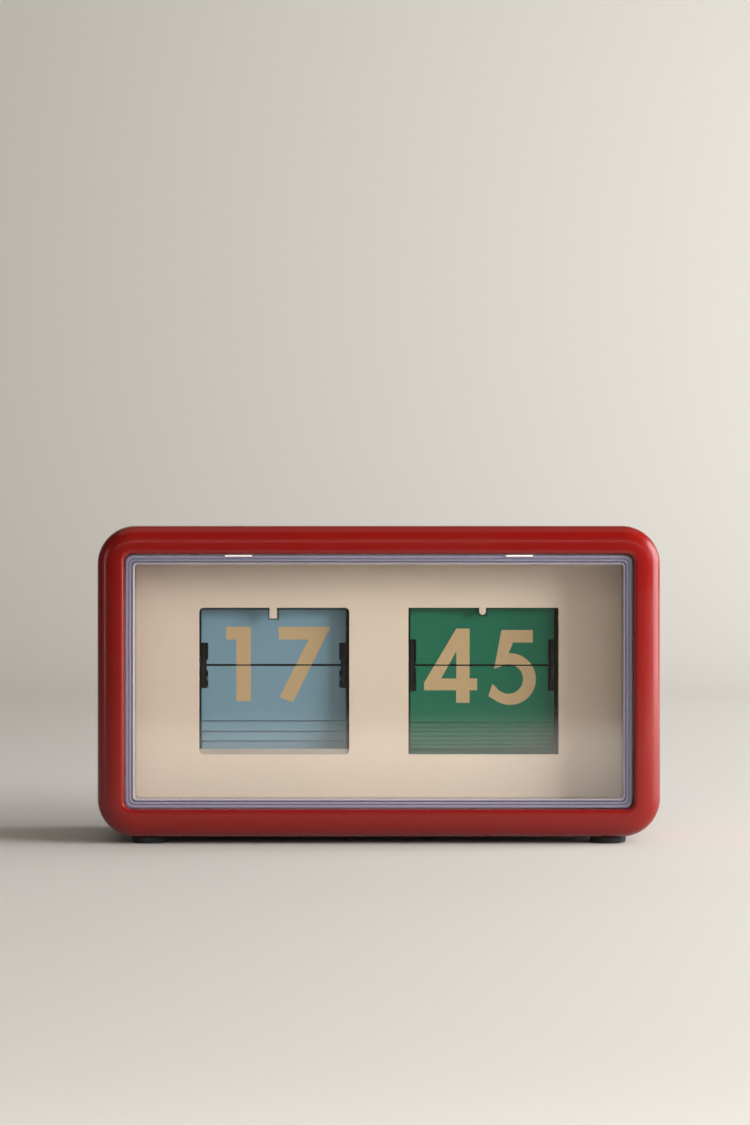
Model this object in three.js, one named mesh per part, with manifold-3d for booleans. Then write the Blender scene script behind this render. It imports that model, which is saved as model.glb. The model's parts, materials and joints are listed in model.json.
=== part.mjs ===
// A battery flip number clock: a rounded case with a clear front, and two drums of hinged leaves that show
// the hour and the minute. Millimetres. +Z is up, +X is to the reader's right and the front looks along -Y.
// The origin is the bottom centre of the bounding box, on the surface that the clock stands on.
import * as THREE from "three";
import { mergeVertices } from "three/addons/utils/BufferGeometryUtils.js";
import Module from "manifold-3d";

const wasm = await Module();
wasm.setup();

// Case
const CASE_WIDTH = 205;
const CASE_HEIGHT = 113.3;
const CASE_CORNER = 14;
const CASE_WALL = 3;
const FOOT_HEIGHT = 2.6; // from the table to the case
const FRONT_Y = -42.5; // crest of the front rim
const CASE_REAR_Y = 40.5;
const REAR_Y = 42.5; // where the setting wheel ends
const RIM = { depth: 6.5, reach: 8.4 }; // the rims' outer rounding, a quarter of an ellipse
const MOUTH_ROUND = 1.4; // rounding from the rim's crest into the lens opening
const FRONT_WALL = 5; // depth of the solid frame round the lens opening
const TUNNEL_WALL = 2.8; // the opening's walls, which run back to the face plate
const MID_Z = FOOT_HEIGHT + CASE_HEIGHT / 2;
const GAP = 0.3; // between pieces that touch

// Lens and face plate
const OPENING = { width: 185, height: 92.6, corner: 3 };
const LENS_FRONT_Y = -40.6;
const PANE = 2.1;
const LENS_WALL = 2.6;
const GROOVE = { inset: 2.1, width: 0.4, depth: 0.3, corner: 2 }; // round the front of the lens
const PANE_STEP = { inset: 3.1, corner: 1.3 }; // the pane is set back from the rim by the groove's depth
const LATCH = { x: 51, width: 10.4, rise: 0.6, depth: 3 };
const PLATE = { front: -20.6, rear: -19, width: 197.4, height: 105.6, corner: 9 };
const WINDOW = { x: 38.7, z: 58.65, width: 55.5, height: 54.2 };
const SILL = { height: 2.05, setback: 0.7 }; // ledge along the bottom of the hour window
const HOUR_TAB = { width: 2.7, length: 3.9 };
const MINUTE_TAB = { width: 2.45, length: 2.6 };
const TAB_SHIFT = -0.35; // the tabs and the leaves sit a little left of the windows' middle

// Leaves and drums. A leaf hangs on a drum at its hinge line, which faces the reader at SPLIT_Z.
const SPLIT_Z = 64.4;
const SPLIT_GAP = 0.5;
const LEAF_THICK = 0.4;
const LEAF_PITCH = 0.7; // from one hanging leaf to the next behind it
const SHAFT = { y: 0.6, z: SPLIT_Z, radius: 1.5 };
const HOURS = {
  name: "hour",
  x: -WINDOW.x + TAB_SHIFT,
  leafWidth: 54,
  leafLength: 20.5,
  leaves: 24,
  pivot: 15.2,
  disc: 16.6,
  discThick: 1.5,
  notch: { width: 2.5, height: 8.2 },
  ear: 1.9,
  hanging: 4,
  tab: HOUR_TAB,
};
const MINUTES = {
  name: "minute",
  x: WINDOW.x + TAB_SHIFT,
  leafWidth: 53.6,
  leafLength: 21,
  leaves: 60,
  pivot: 17,
  disc: 18.7,
  discThick: 1.3,
  notch: { width: 2.2, height: 9.5 },
  ear: 0.9,
  hanging: 7,
  tab: MINUTE_TAB,
};

// Gears: module, teeth and place along the shaft
const SPIN_MODULE = 0.7;
const SLOW_MODULE = 0.6;
const MINUTE_PINION = { teeth: 12, x: -8, width: 2 };
const IDLER_WHEEL = { teeth: 48, x: -8, width: 2 };
const IDLER_PINION = { teeth: 10, x: -11, width: 2.5 };
const HOUR_GEAR = { teeth: 60, x: -11, width: 2.5 };
const MINUTE_WHEEL = { teeth: 60, x: 67, width: 2 };
const DRIVE_PINION = { teeth: 12, x: 67, width: 2 };
const SET_PINION = { teeth: 20, x: 67, width: 2 };
const SET_WHEEL = { radius: 18.3, x: 75, width: 6, grooves: 36 };
const HUB_RADIUS = 2.6;
const IDLER = { y: SHAFT.y, z: SHAFT.z - (SPIN_MODULE * (12 + 48)) / 2 };
const SET_AXIS = { y: REAR_Y - SET_WHEEL.radius, z: 0 };
SET_AXIS.z = SHAFT.z + Math.sqrt(24 ** 2 - (SET_AXIS.y - SHAFT.y) ** 2);
const DRIVE_ANGLE = THREE.MathUtils.degToRad(242.4); // from the shaft to the movement's output
const DRIVE_DISTANCE = (SLOW_MODULE * (60 + 12)) / 2;
const DRIVE = {
  y: SHAFT.y + DRIVE_DISTANCE * Math.cos(DRIVE_ANGLE),
  z: SHAFT.z + DRIVE_DISTANCE * Math.sin(DRIVE_ANGLE),
};

// Chassis, rear cover and battery bay
const CHASSIS = { left: -69.5, right: 72, thick: 1.5, base: 8, front: -14, rear: 30 };
const CENTRE_PLATE = { x: -3.5, thick: 1.5 };
const COVER = { front: 36.2, rear: 38.6, width: 198.2, height: 106.5, corner: 10.6 };
const CELL = { x: -84, y: 27, bottom: 36, length: 50.2, radius: 7.1 };
const DOOR = { left: -93.5, right: -74.5, top: 90, hingeY: 37, hingeZ: 33, barrel: 1.6 };
const SCREW_PLACES = [
  [-93, 12],
  [93, 12],
  [-93, 106.5],
  [93, 106.5],
];

const paint = (color, roughness, metalness = 0) =>
  new THREE.MeshStandardMaterial({ color, roughness, metalness });
const RED = paint(0xa32a26, 0.3);
const RED_MATTE = paint(0x9a2723, 0.55);
const CLEAR = paint(0xc9cde0, 0.05);
const CREAM = paint(0xd2bfa8, 0.5);
const BLUE = paint(0x6f8e9b, 0.6);
const GREEN = paint(0x2c6e50, 0.6);
const BLACK = paint(0x151515, 0.5);
const RUBBER = paint(0x1b1b1b, 0.9);
const WHITE = paint(0xe6e2d6, 0.45);
const STEEL = paint(0xa9acb0, 0.35, 1);
const BRASS = paint(0xb08d4a, 0.35, 1);
const CELL_WRAP = paint(0x2f3a44, 0.4);
const LEAD_RED = paint(0xa01818, 0.5);

// Solids -----------------------------------------------------------------------------------------------

// A closed three.js geometry as a solid, without the zero-area triangles that a lathe has on its axis.
function solid(geometry) {
  const bare = geometry.clone();
  bare.deleteAttribute("normal");
  bare.deleteAttribute("uv");
  const merged = mergeVertices(bare, 1e-4);
  const corners = merged.index.array;
  const kept = [];
  for (let i = 0; i < corners.length; i += 3) {
    const [a, b, c] = [corners[i], corners[i + 1], corners[i + 2]];
    if (a !== b && b !== c && c !== a) kept.push(a, b, c);
  }
  return new wasm.Manifold(
    new wasm.Mesh({
      numProp: 3,
      vertProperties: merged.attributes.position.array,
      triVerts: new Uint32Array(kept),
    }),
  );
}

const join = (...bodies) => bodies.reduce((a, b) => a.add(b));
const cut = (body, ...tools) => tools.reduce((a, b) => a.subtract(b), body);

function meshOf(name, body, material) {
  const { vertProperties, triVerts } = body.getMesh();
  const geometry = new THREE.BufferGeometry();
  geometry.setAttribute("position", new THREE.BufferAttribute(vertProperties, 3));
  geometry.setIndex(new THREE.BufferAttribute(triVerts, 1));
  const mesh = new THREE.Mesh(geometry, material);
  mesh.name = name;
  return mesh;
}

// A rectangle with round corners about (x, y).
function roundRect(width, height, radius, x = 0, y = 0, Kind = THREE.Shape) {
  const [l, r, b, t] = [x - width / 2, x + width / 2, y - height / 2, y + height / 2];
  const outline = new Kind();
  outline.moveTo(l + radius, b);
  outline.lineTo(r - radius, b);
  outline.absarc(r - radius, b + radius, radius, -Math.PI / 2, 0);
  outline.lineTo(r, t - radius);
  outline.absarc(r - radius, t - radius, radius, 0, Math.PI / 2);
  outline.lineTo(l + radius, t);
  outline.absarc(l + radius, t - radius, radius, Math.PI / 2, Math.PI);
  outline.lineTo(l, b + radius);
  outline.absarc(l + radius, b + radius, radius, Math.PI, Math.PI * 1.5);
  return outline;
}

// A shape drawn as the reader sees it, (x, z), and extruded between two depths. The edges of both ends
// are rounded by a quarter of an ellipse, round deep and reach wide, and the shape grows by reach.
function frontal(shape, yFront, yRear, { round = 0, reach = round, steps = 5, curve = 6 } = {}) {
  const geometry = new THREE.ExtrudeGeometry(shape, {
    depth: yRear - yFront - 2 * round,
    bevelEnabled: round > 0,
    bevelThickness: round,
    bevelSize: reach,
    bevelSegments: steps,
    curveSegments: curve,
  });
  return solid(geometry.rotateX(Math.PI / 2).translate(0, yRear - round, 0));
}

const slab = (width, height, radius, yFront, yRear, options = {}, x = 0, z = MID_Z) =>
  frontal(roundRect(width, height, radius, x, z), yFront, yRear, options);

// A shape drawn as seen from the right end, (y, z), and extruded from x along the shaft.
const SIDEWAYS = new THREE.Matrix4().makeBasis(
  new THREE.Vector3(0, 1, 0),
  new THREE.Vector3(0, 0, 1),
  new THREE.Vector3(1, 0, 0),
);
function sideways(shape, x, width, curve = 6) {
  const geometry = new THREE.ExtrudeGeometry(shape, {
    depth: width,
    bevelEnabled: false,
    curveSegments: curve,
  });
  return solid(geometry.applyMatrix4(SIDEWAYS).translate(x, 0, 0));
}

function box(x0, x1, y0, y1, z0, z1) {
  const geometry = new THREE.BoxGeometry(x1 - x0, y1 - y0, z1 - z0);
  return solid(geometry.translate((x0 + x1) / 2, (y0 + y1) / 2, (z0 + z1) / 2));
}

// A turned piece. The profile is [radius, distance] pairs along the axis, anticlockwise, and the axis runs
// along X, Y or Z from the given point.
function turned(profile, axis, [x, y, z], segments = 24) {
  const points = profile.map(([r, d]) => new THREE.Vector2(r, d));
  const geometry = new THREE.LatheGeometry(points, segments);
  if (axis === "x") geometry.rotateZ(-Math.PI / 2);
  if (axis === "z") geometry.rotateX(Math.PI / 2);
  return solid(geometry.translate(x, y, z));
}

const rod = (radius, from, to) => [
  [0, from],
  [radius, from],
  [radius, to],
  [0, to],
];
const sleeve = (bore, radius, from, to) => [
  [bore, from],
  [radius, from],
  [radius, to],
  [bore, to],
  [bore, from],
];
const pinAlong = (axis, radius, from, to, at, segments = 16) =>
  turned(rod(radius, from, to), axis, at, segments);

// Spur gear outline about the origin, tooth 0 at angle phase. The teeth are thinned for backlash.
function gearShape(teeth, module, phase, bore) {
  const pitch = (teeth * module) / 2;
  const base = pitch * Math.cos(THREE.MathUtils.degToRad(20));
  const involute = (r) => {
    const a = Math.acos(Math.min(1, base / r));
    return Math.tan(a) - a;
  };
  const half = (r) => (0.84 * Math.PI) / 2 / teeth + involute(pitch) - involute(Math.max(r, base));
  const radii = [pitch - 1.2 * module, pitch + 0.8 * module];
  if (teeth < 30) radii.splice(1, 0, Math.max(base, pitch - 0.55 * module), pitch + 0.2 * module);
  const outline = [];
  const put = (r, a) => outline.push(new THREE.Vector2(r * Math.cos(a), r * Math.sin(a)));
  for (let tooth = 0; tooth < teeth; tooth++) {
    const middle = phase + (2 * Math.PI * tooth) / teeth;
    for (const r of radii) put(r, middle - half(r));
    for (const r of [...radii].reverse()) put(r, middle + half(r));
  }
  const shape = new THREE.Shape(outline);
  if (bore) shape.holes.push(new THREE.Path().absarc(0, 0, bore, 0, 2 * Math.PI, true));
  return shape;
}

function gear({ teeth, x, width }, module, phase, at, bore) {
  return sideways(gearShape(teeth, module, phase, bore), x, width).translate(0, at.y, at.z);
}

// The phase at which a gear at angle direction from its partner has its gap where the partner's tooth is.
const meshPhase = (partnerTeeth, partnerPhase, direction, teeth) =>
  direction + Math.PI - ((partnerPhase - direction) * partnerTeeth) / teeth - Math.PI / teeth;

// Case, lens, face plate and feet ------------------------------------------------------------------------

const latchNotch = (side, grow, yFront, yRear) => {
  const top = MID_Z + OPENING.height / 2 + LATCH.rise;
  const half = LATCH.width / 2 + grow;
  return box(side * LATCH.x - half, side * LATCH.x + half, yFront, yRear, top - 4, top + grow);
};

const FOOT_PLACES = [
  ["front_left", -84, -29],
  ["front_right", 84, -29],
  ["rear_left", -84, 29],
  ["rear_right", 84, 29],
];
const CHASSIS_SCREWS = [
  [-56, 24],
  [62, 24],
];
const PLATE_SCREW = { x: 94.5, z: 48.7 };
const PLATE_SCREW_PLACES = [-1, 1].flatMap((v) =>
  [-1, 1].map((h) => [h * PLATE_SCREW.x, MID_Z + v * PLATE_SCREW.z]),
);

function caseShell() {
  const outer = slab(
    CASE_WIDTH - 2 * RIM.reach,
    CASE_HEIGHT - 2 * RIM.reach,
    CASE_CORNER - RIM.reach,
    FRONT_Y,
    CASE_REAR_Y,
    { round: RIM.depth, reach: RIM.reach, steps: 6, curve: 6 },
  );
  const mouthShape = roundRect(CASE_WIDTH * 2, CASE_HEIGHT * 2, 5, 0, MID_Z);
  mouthShape.holes.push(
    roundRect(
      OPENING.width + 2 * MOUTH_ROUND,
      OPENING.height + 2 * MOUTH_ROUND,
      OPENING.corner + MOUTH_ROUND,
      0,
      MID_Z,
      THREE.Path,
    ),
  );
  const mouth = frontal(mouthShape, FRONT_Y, 60, { round: MOUTH_ROUND, steps: 3, curve: 4 });
  const cavity = slab(
    CASE_WIDTH - 2 * CASE_WALL,
    CASE_HEIGHT - 2 * CASE_WALL,
    CASE_CORNER - CASE_WALL,
    FRONT_Y + FRONT_WALL,
    50,
  );
  const { width, height, corner } = OPENING;
  const [rear, root] = [PLATE.front - 0.4, FRONT_Y + FRONT_WALL - 0.5];
  const thick = 2 * TUNNEL_WALL;
  const tunnelShape = roundRect(width + thick, height + thick, corner + TUNNEL_WALL, 0, MID_Z);
  tunnelShape.holes.push(roundRect(width, height, corner, 0, MID_Z, THREE.Path));
  const tunnel = frontal(tunnelShape, root, rear, { curve: 4 });
  const floor = FOOT_HEIGHT + CASE_WALL;
  let shell = join(cut(outer.intersect(mouth), cavity), tunnel);
  for (const [x, z] of PLATE_SCREW_PLACES)
    shell = join(shell, pinAlong("y", 2.6, root, rear, [x, 0, z], 12));
  for (const [x, z] of SCREW_PLACES)
    shell = join(shell, coverBoss(x, z));
  for (const [x, y] of CHASSIS_SCREWS)
    shell = join(shell, pinAlong("z", 4, floor - 0.5, CHASSIS.base - GAP, [x, y, 0]));
  for (const [x, z] of PLATE_SCREW_PLACES)
    shell = cut(shell, pinAlong("y", 1.3, -34, PLATE.front, [x, 0, z], 10));
  for (const [x, z] of SCREW_PLACES)
    shell = cut(shell, pinAlong("y", 1.4, 22, 37, [x, 0, z], 10));
  for (const [x, y] of CHASSIS_SCREWS)
    shell = cut(shell, pinAlong("z", 1.4, floor - 1.6, CHASSIS.base, [x, y, 0], 10));
  for (const [, x, y] of FOOT_PLACES)
    shell = cut(shell, pinAlong("z", 1.8, FOOT_HEIGHT - 1, floor - 1, [x, y, 0], 12));
  return cut(shell, latchNotch(-1, GAP, -42, -36.5), latchNotch(1, GAP, -42, -36.5));
}

// A square boss for a cover screw, tied to the side wall by a rib.
function coverBoss(x, z) {
  const [front, rear] = [14, COVER.front - GAP];
  const wall = Math.sign(x) * (CASE_WIDTH / 2 - CASE_WALL + 0.5);
  const boss = box(x - 3.4, x + 3.4, front, rear, z - 3.4, z + 3.4);
  return join(boss, box(Math.min(x, wall), Math.max(x, wall), front, rear, z - 1, z + 1));
}

function lens() {
  const clearance = 2 * GAP;
  const width = OPENING.width - clearance;
  const height = OPENING.height - clearance;
  const rear = PLATE.front - GAP;
  const round = 0.6;
  const outer = slab(
    width - 2 * round,
    height - 2 * round,
    OPENING.corner - GAP - round,
    LENS_FRONT_Y,
    rear,
    { round, steps: 2, curve: 4 },
  );
  const hollow = slab(
    width - 2 * LENS_WALL,
    height - 2 * LENS_WALL,
    1.2,
    LENS_FRONT_Y + PANE,
    rear + 1,
    { curve: 3 },
  );
  const latches = [-1, 1].map((side) => {
    const middle = side * LATCH.x;
    const half = LATCH.width / 2;
    const top = MID_Z + OPENING.height / 2;
    return box(
      middle - half,
      middle + half,
      LENS_FRONT_Y + 0.4,
      LENS_FRONT_Y + LATCH.depth,
      top - 2,
      top + LATCH.rise - GAP,
    );
  });
  const inset = (by, radius, Kind) => roundRect(width - 2 * by, height - 2 * by, radius, 0, MID_Z, Kind);
  const groove = inset(GROOVE.inset, GROOVE.corner);
  groove.holes.push(inset(GROOVE.inset + GROOVE.width, GROOVE.corner - GROOVE.width / 2, THREE.Path));
  const step = inset(PANE_STEP.inset, PANE_STEP.corner);
  const recesses = [groove, step].map((shape) =>
    frontal(shape, LENS_FRONT_Y - 1, LENS_FRONT_Y + GROOVE.depth, { curve: 3 }),
  );
  return cut(join(outer, ...latches), hollow, ...recesses);
}

function facePlate() {
  const { front, rear, width, height, corner } = PLATE;
  const plate = slab(width, height, corner, front, rear);
  const windows = [HOURS, MINUTES].map((drum) => frontal(windowOutline(drum), front - 1, rear + 1));
  const holes = PLATE_SCREW_PLACES.map(([x, z]) =>
    pinAlong("y", 1.3, front - 1, rear + 1, [x, 0, z], 10),
  );
  const middle = -WINDOW.x;
  const reach = WINDOW.width / 2 + 1;
  const bottom = WINDOW.z - WINDOW.height / 2;
  const top = bottom + SILL.height;
  const sill = box(middle - reach, middle + reach, front + SILL.setback, rear, bottom - 1, top);
  return join(cut(plate, ...windows, ...holes), sill);
}

// A window with its retaining tab hanging from the top edge.
function windowOutline({ name, x, tab }) {
  const middle = x - TAB_SHIFT;
  const [left, right] = [middle - WINDOW.width / 2, middle + WINDOW.width / 2];
  const [bottom, top] = [WINDOW.z - WINDOW.height / 2, WINDOW.z + WINDOW.height / 2];
  const half = tab.width / 2;
  const outline = new THREE.Shape();
  outline.moveTo(left, bottom);
  outline.lineTo(right, bottom);
  outline.lineTo(right, top);
  outline.lineTo(x + half, top);
  if (name === "hour") {
    outline.lineTo(x + half, top - tab.length);
    outline.lineTo(x - half, top - tab.length);
  } else {
    outline.lineTo(x + half, top - tab.length + half);
    outline.absarc(x, top - tab.length + half, half, 0, -Math.PI, true);
  }
  outline.lineTo(x - half, top);
  outline.lineTo(left, top);
  return outline;
}

function foot(x, y) {
  const gap = FOOT_HEIGHT - GAP;
  const profile = [
    [0, 0],
    [6, 0],
    [6.6, 0.6],
    [6.6, gap],
    [1.5, gap],
    [1.5, 4],
    [0, 4],
  ];
  return turned(profile, "z", [x, y, 0], 16);
}

// A screw along an axis, its head at from and its tip at to.
function screw(axis, head, shank, from, neck, to, at) {
  const [low, high] = from < to ? [from, to] : [to, from];
  const profile =
    from < to
      ? [
          [0, low],
          [head, low],
          [head, neck],
          [shank, neck],
          [shank, high],
          [0, high],
        ]
      : [
          [0, low],
          [shank, low],
          [shank, neck],
          [head, neck],
          [head, high],
          [0, high],
        ];
  return turned(profile, axis, at, 12);
}

// Leaves -------------------------------------------------------------------------------------------------

const hingeY = (drum) => SHAFT.y - drum.pivot;

// How far a drum's disc reaches above or below the shaft at depth y.
const chord = (drum, y) => Math.sqrt(Math.max(0, drum.disc ** 2 - (y - SHAFT.y) ** 2));

// One leaf as the reader sees it. It stands up (side 1) or hangs down (side -1) from its own hinge line,
// and it is cut back at both ends of that line, beside the drum's discs.
function leaf(drum, side, hingeZ, yFront, { slot = false } = {}) {
  const half = drum.leafWidth / 2;
  const near = SPLIT_GAP / 2;
  const far = near + drum.leafLength;
  const reach = chord(drum, yFront + LEAF_THICK) + 0.35 - side * (hingeZ - SHAFT.z);
  const notch = Math.max(drum.notch.height, reach);
  const inner = half - drum.notch.width;
  const ear = inner + drum.notch.width - 0.1 - drum.discThick - GAP;
  const right = [
    [ear, near],
    [ear, drum.ear],
    [inner, drum.ear + 0.3],
    [inner, notch],
    [half, notch],
    [half, far],
  ];
  if (slot) {
    const slotHalf = drum.tab.width / 2 + 0.45;
    const slotEnd = WINDOW.z + WINDOW.height / 2 - drum.tab.length - hingeZ - 0.45;
    right.push([slotHalf, far], [slotHalf, slotEnd]);
  }
  const left = [...right].reverse().map(([x, z]) => [-x, z]);
  const outline = [...right, ...left].map(
    ([x, z]) => new THREE.Vector2(drum.x + x, hingeZ + side * z),
  );
  return frontal(new THREE.Shape(outline), yFront, yFront + LEAF_THICK);
}

// The hinge line of hanging leaf i, counted down from the front.
const hangingZ = (drum, i) =>
  SHAFT.z - drum.pivot * Math.sin((2 * Math.PI * i) / drum.leaves);
const hangingY = (drum, i) => hingeY(drum) + GAP + LEAF_PITCH * i;

function leafMeshes(drum, material) {
  const front = leaf(drum, 1, SHAFT.z, hingeY(drum), { slot: true });
  const next = leaf(drum, 1, SHAFT.z, hingeY(drum) + LEAF_THICK + 0.4);
  const meshes = [
    meshOf(drum.name + "_leaf_falling", front, material),
    meshOf(drum.name + "_leaf_next", next, material),
  ];
  for (let i = 0; i < drum.hanging; i++) {
    const hanging = leaf(drum, -1, hangingZ(drum, i), hangingY(drum, i));
    meshes.push(meshOf(drum.name + "_leaf_hanging_" + (i + 1), hanging, material));
  }
  meshes.push(meshOf(drum.name + "_leaf_stack", leafStack(drum), material));
  return meshes;
}

// Angle of a leaf from upright, for a hinge that has gone turn degrees back over the top of the drum.
const lean = (turn) => 180 * THREE.MathUtils.smoothstep(turn, 35, 205);

// The leaves that nobody sees, over the top, behind and below the drum, as one solid of their outline.
function leafStack(drum) {
  const inner = drum.pivot - 2.6;
  const reach = (turn) => {
    const a = THREE.MathUtils.degToRad(turn);
    const b = THREE.MathUtils.degToRad(lean(turn));
    return [
      SHAFT.y - drum.pivot * Math.cos(a) + drum.leafLength * Math.sin(b),
      SHAFT.z + drum.pivot * Math.sin(a) + drum.leafLength * Math.cos(b),
    ];
  };
  const frontTop = hingeY(drum) + 2 * LEAF_THICK + 0.4 + 0.5;
  const frontBottom = hangingY(drum, drum.hanging) + 0.2;
  const down = (360 * drum.hanging) / drum.leaves;
  const rise = Math.sqrt(Math.max(0, inner ** 2 - (frontTop - SHAFT.y) ** 2));
  const drop = Math.sqrt(Math.max(0, inner ** 2 - (frontBottom - SHAFT.y) ** 2));
  const outline = new THREE.Shape();
  outline.moveTo(frontTop, SHAFT.z + rise + 3);
  outline.lineTo(frontTop, SHAFT.z + drum.leafLength);
  for (let turn = 20; turn < 360 - down; turn += 20) outline.lineTo(...reach(turn));
  outline.lineTo(frontBottom, hangingZ(drum, drum.hanging) - drum.leafLength);
  outline.lineTo(frontBottom, SHAFT.z - drop - 3);
  const start = Math.atan2(-drop, frontBottom - SHAFT.y);
  const end = Math.atan2(rise, frontTop - SHAFT.y);
  outline.absarc(SHAFT.y, SHAFT.z, inner, start, end);
  const clear = drum.leafWidth / 2 - 0.1 - drum.discThick - GAP;
  return sideways(outline, drum.x - clear, 2 * clear, 8);
}

// Drums, gears and chassis ---------------------------------------------------------------------------------

function drum({ x, leafWidth, disc, discThick }, hubLeft, hubRight) {
  const [left, right] = [x - leafWidth / 2 + 0.1, x + leafWidth / 2 - 0.1];
  const bore = SHAFT.radius + GAP + 0.1;
  const core = 9;
  const profile = [
    [bore, hubLeft],
    [HUB_RADIUS, hubLeft],
    [HUB_RADIUS, left],
    [disc - 0.5, left],
    [disc, left + 0.4],
    [disc, left + discThick],
    [core, left + discThick],
    [core, right - discThick],
    [disc, right - discThick],
    [disc, right - 0.4],
    [disc - 0.5, right],
    [HUB_RADIUS, right],
    [HUB_RADIUS, hubRight],
    [bore, hubRight],
    [bore, hubLeft],
  ];
  return turned(profile, "x", [0, SHAFT.y, SHAFT.z], 32);
}

const HUB_BORE = HUB_RADIUS + GAP;
const HOUR_PHASE = 0;
const IDLER_PHASE = meshPhase(HOUR_GEAR.teeth, HOUR_PHASE, -Math.PI / 2, IDLER_PINION.teeth);
const PINION_PHASE = meshPhase(
  IDLER_WHEEL.teeth,
  IDLER_PHASE,
  Math.PI / 2,
  MINUTE_PINION.teeth,
);
const DRIVE_PHASE = meshPhase(MINUTE_WHEEL.teeth, 0, DRIVE_ANGLE, DRIVE_PINION.teeth);
const SET_ANGLE = Math.atan2(SET_AXIS.z - SHAFT.z, SET_AXIS.y - SHAFT.y);
const SET_PHASE = meshPhase(MINUTE_WHEEL.teeth, 0, SET_ANGLE, SET_PINION.teeth);
const STUD_RADIUS = 1.2;

function idlerGear() {
  const bore = STUD_RADIUS + GAP;
  const pinion = gear(IDLER_PINION, SLOW_MODULE, IDLER_PHASE, IDLER, bore);
  const wheel = gear(IDLER_WHEEL, SPIN_MODULE, IDLER_PHASE, IDLER, bore);
  const neck = turned(sleeve(bore, 2.1, -8.6, -4.2), "x", [0, IDLER.y, IDLER.z], 16);
  return join(pinion, wheel, neck);
}

function chassisFrame() {
  const { left, right, thick, base, front, rear } = CHASSIS;
  const cheek = new THREE.Shape();
  cheek.moveTo(front, base);
  cheek.lineTo(rear, base);
  cheek.lineTo(rear, 76);
  cheek.quadraticCurveTo(rear, 84, 20, 84);
  cheek.lineTo(-4, 84);
  cheek.quadraticCurveTo(front, 84, front, 66);
  cheek.lineTo(front, base);
  const floor = box(left, right, front, rear, base, base + thick);
  const frame = join(
    floor,
    sideways(cheek, left, thick, 4),
    sideways(cheek, right - thick, thick, 4),
  );
  const shaftHole = pinAlong("x", SHAFT.radius + GAP, -80, 80, [0, SHAFT.y, SHAFT.z], 16);
  const driveHole = pinAlong("x", 2.4, 60, 80, [0, DRIVE.y, DRIVE.z], 16);
  const setHole = pinAlong("x", 2.8, 60, 80, [0, SET_AXIS.y, SET_AXIS.z], 16);
  const screwHoles = CHASSIS_SCREWS.map(([x, y]) => pinAlong("z", 1.4, 5, 12, [x, y, 0], 10));
  return cut(frame, shaftHole, driveHole, setHole, ...screwHoles);
}

// The plate between the drums. Its foot is welded to the chassis floor, a hair above it.
function centrePlate() {
  const { x, thick } = CENTRE_PLATE;
  const bottom = CHASSIS.base + CHASSIS.thick + GAP;
  const outline = new THREE.Shape();
  outline.moveTo(-12, bottom);
  outline.lineTo(14, bottom);
  outline.lineTo(14, 66);
  outline.quadraticCurveTo(14, 76, 4, 76);
  outline.lineTo(-2, 76);
  outline.quadraticCurveTo(-12, 76, -12, 66);
  outline.lineTo(-12, bottom);
  const plate = join(
    sideways(outline, x, thick, 4),
    box(x, x + 14, -12, 14, bottom, bottom + thick),
  );
  const hubHole = pinAlong("x", HUB_RADIUS + GAP, -10, 10, [0, SHAFT.y, SHAFT.z], 16);
  const studHole = pinAlong("x", STUD_RADIUS + GAP, -10, 10, [0, IDLER.y, IDLER.z], 12);
  return cut(plate, hubHole, studHole);
}

function drumShaft() {
  const [from, to] = [CHASSIS.left - 2.2, CHASSIS.right + 2.4];
  const profile = [
    [0, from],
    [3, from],
    [3, CHASSIS.left - GAP],
    [SHAFT.radius, CHASSIS.left - GAP],
    [SHAFT.radius, to - 1.6],
    [1, to - 1.6],
    [1, to - 0.6],
    [SHAFT.radius, to - 0.6],
    [SHAFT.radius, to],
    [0, to],
  ];
  return turned(profile, "x", [0, SHAFT.y, SHAFT.z], 16);
}

// A retaining clip, open at one side, in the shaft's groove.
function shaftClip() {
  const outline = new THREE.Shape();
  outline.absarc(0, 0, 3.2, 0.5, 2 * Math.PI - 0.5);
  outline.absarc(0, 0, 1.3, 2 * Math.PI - 0.5, 0.5, true);
  const x = CHASSIS.right + 2.4 - 1.35;
  return sideways(outline, x, 0.5, 8).translate(0, SHAFT.y, SHAFT.z);
}

function idlerStud() {
  const face = CENTRE_PLATE.x + CENTRE_PLATE.thick + GAP;
  const profile = [
    [0, -12.6],
    [2.2, -12.6],
    [2.2, -11.4],
    [STUD_RADIUS, -11.4],
    [STUD_RADIUS, face],
    [2.4, face],
    [2.4, face + 1],
    [0, face + 1],
  ];
  return turned(profile, "x", [0, IDLER.y, IDLER.z], 16);
}

// The quartz movement, on the outside of the chassis' right cheek.
function movementHousing() {
  const x = CHASSIS.right + GAP;
  const body = roundRect(22, 34, 3, DRIVE.y + 3.5, DRIVE.z - 4);
  const collar = turned(sleeve(1.3, 2, x - 1.5, x + 1), "x", [0, DRIVE.y, DRIVE.z], 16);
  const hollow = pinAlong("x", 1.3, x - 2, x + 6, [0, DRIVE.y, DRIVE.z], 16);
  const cap = roundRect(15, 22, 2, DRIVE.y + 3.5, DRIVE.z - 4);
  return cut(join(sideways(body, x, 13, 3), collar, sideways(cap, x + 12, 3, 3)), hollow);
}

function drivePinion() {
  const wheel = gear(DRIVE_PINION, SLOW_MODULE, DRIVE_PHASE, DRIVE, 0);
  return join(wheel, pinAlong("x", 1, 68, CHASSIS.right + 5, [0, DRIVE.y, DRIVE.z], 12));
}

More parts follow.
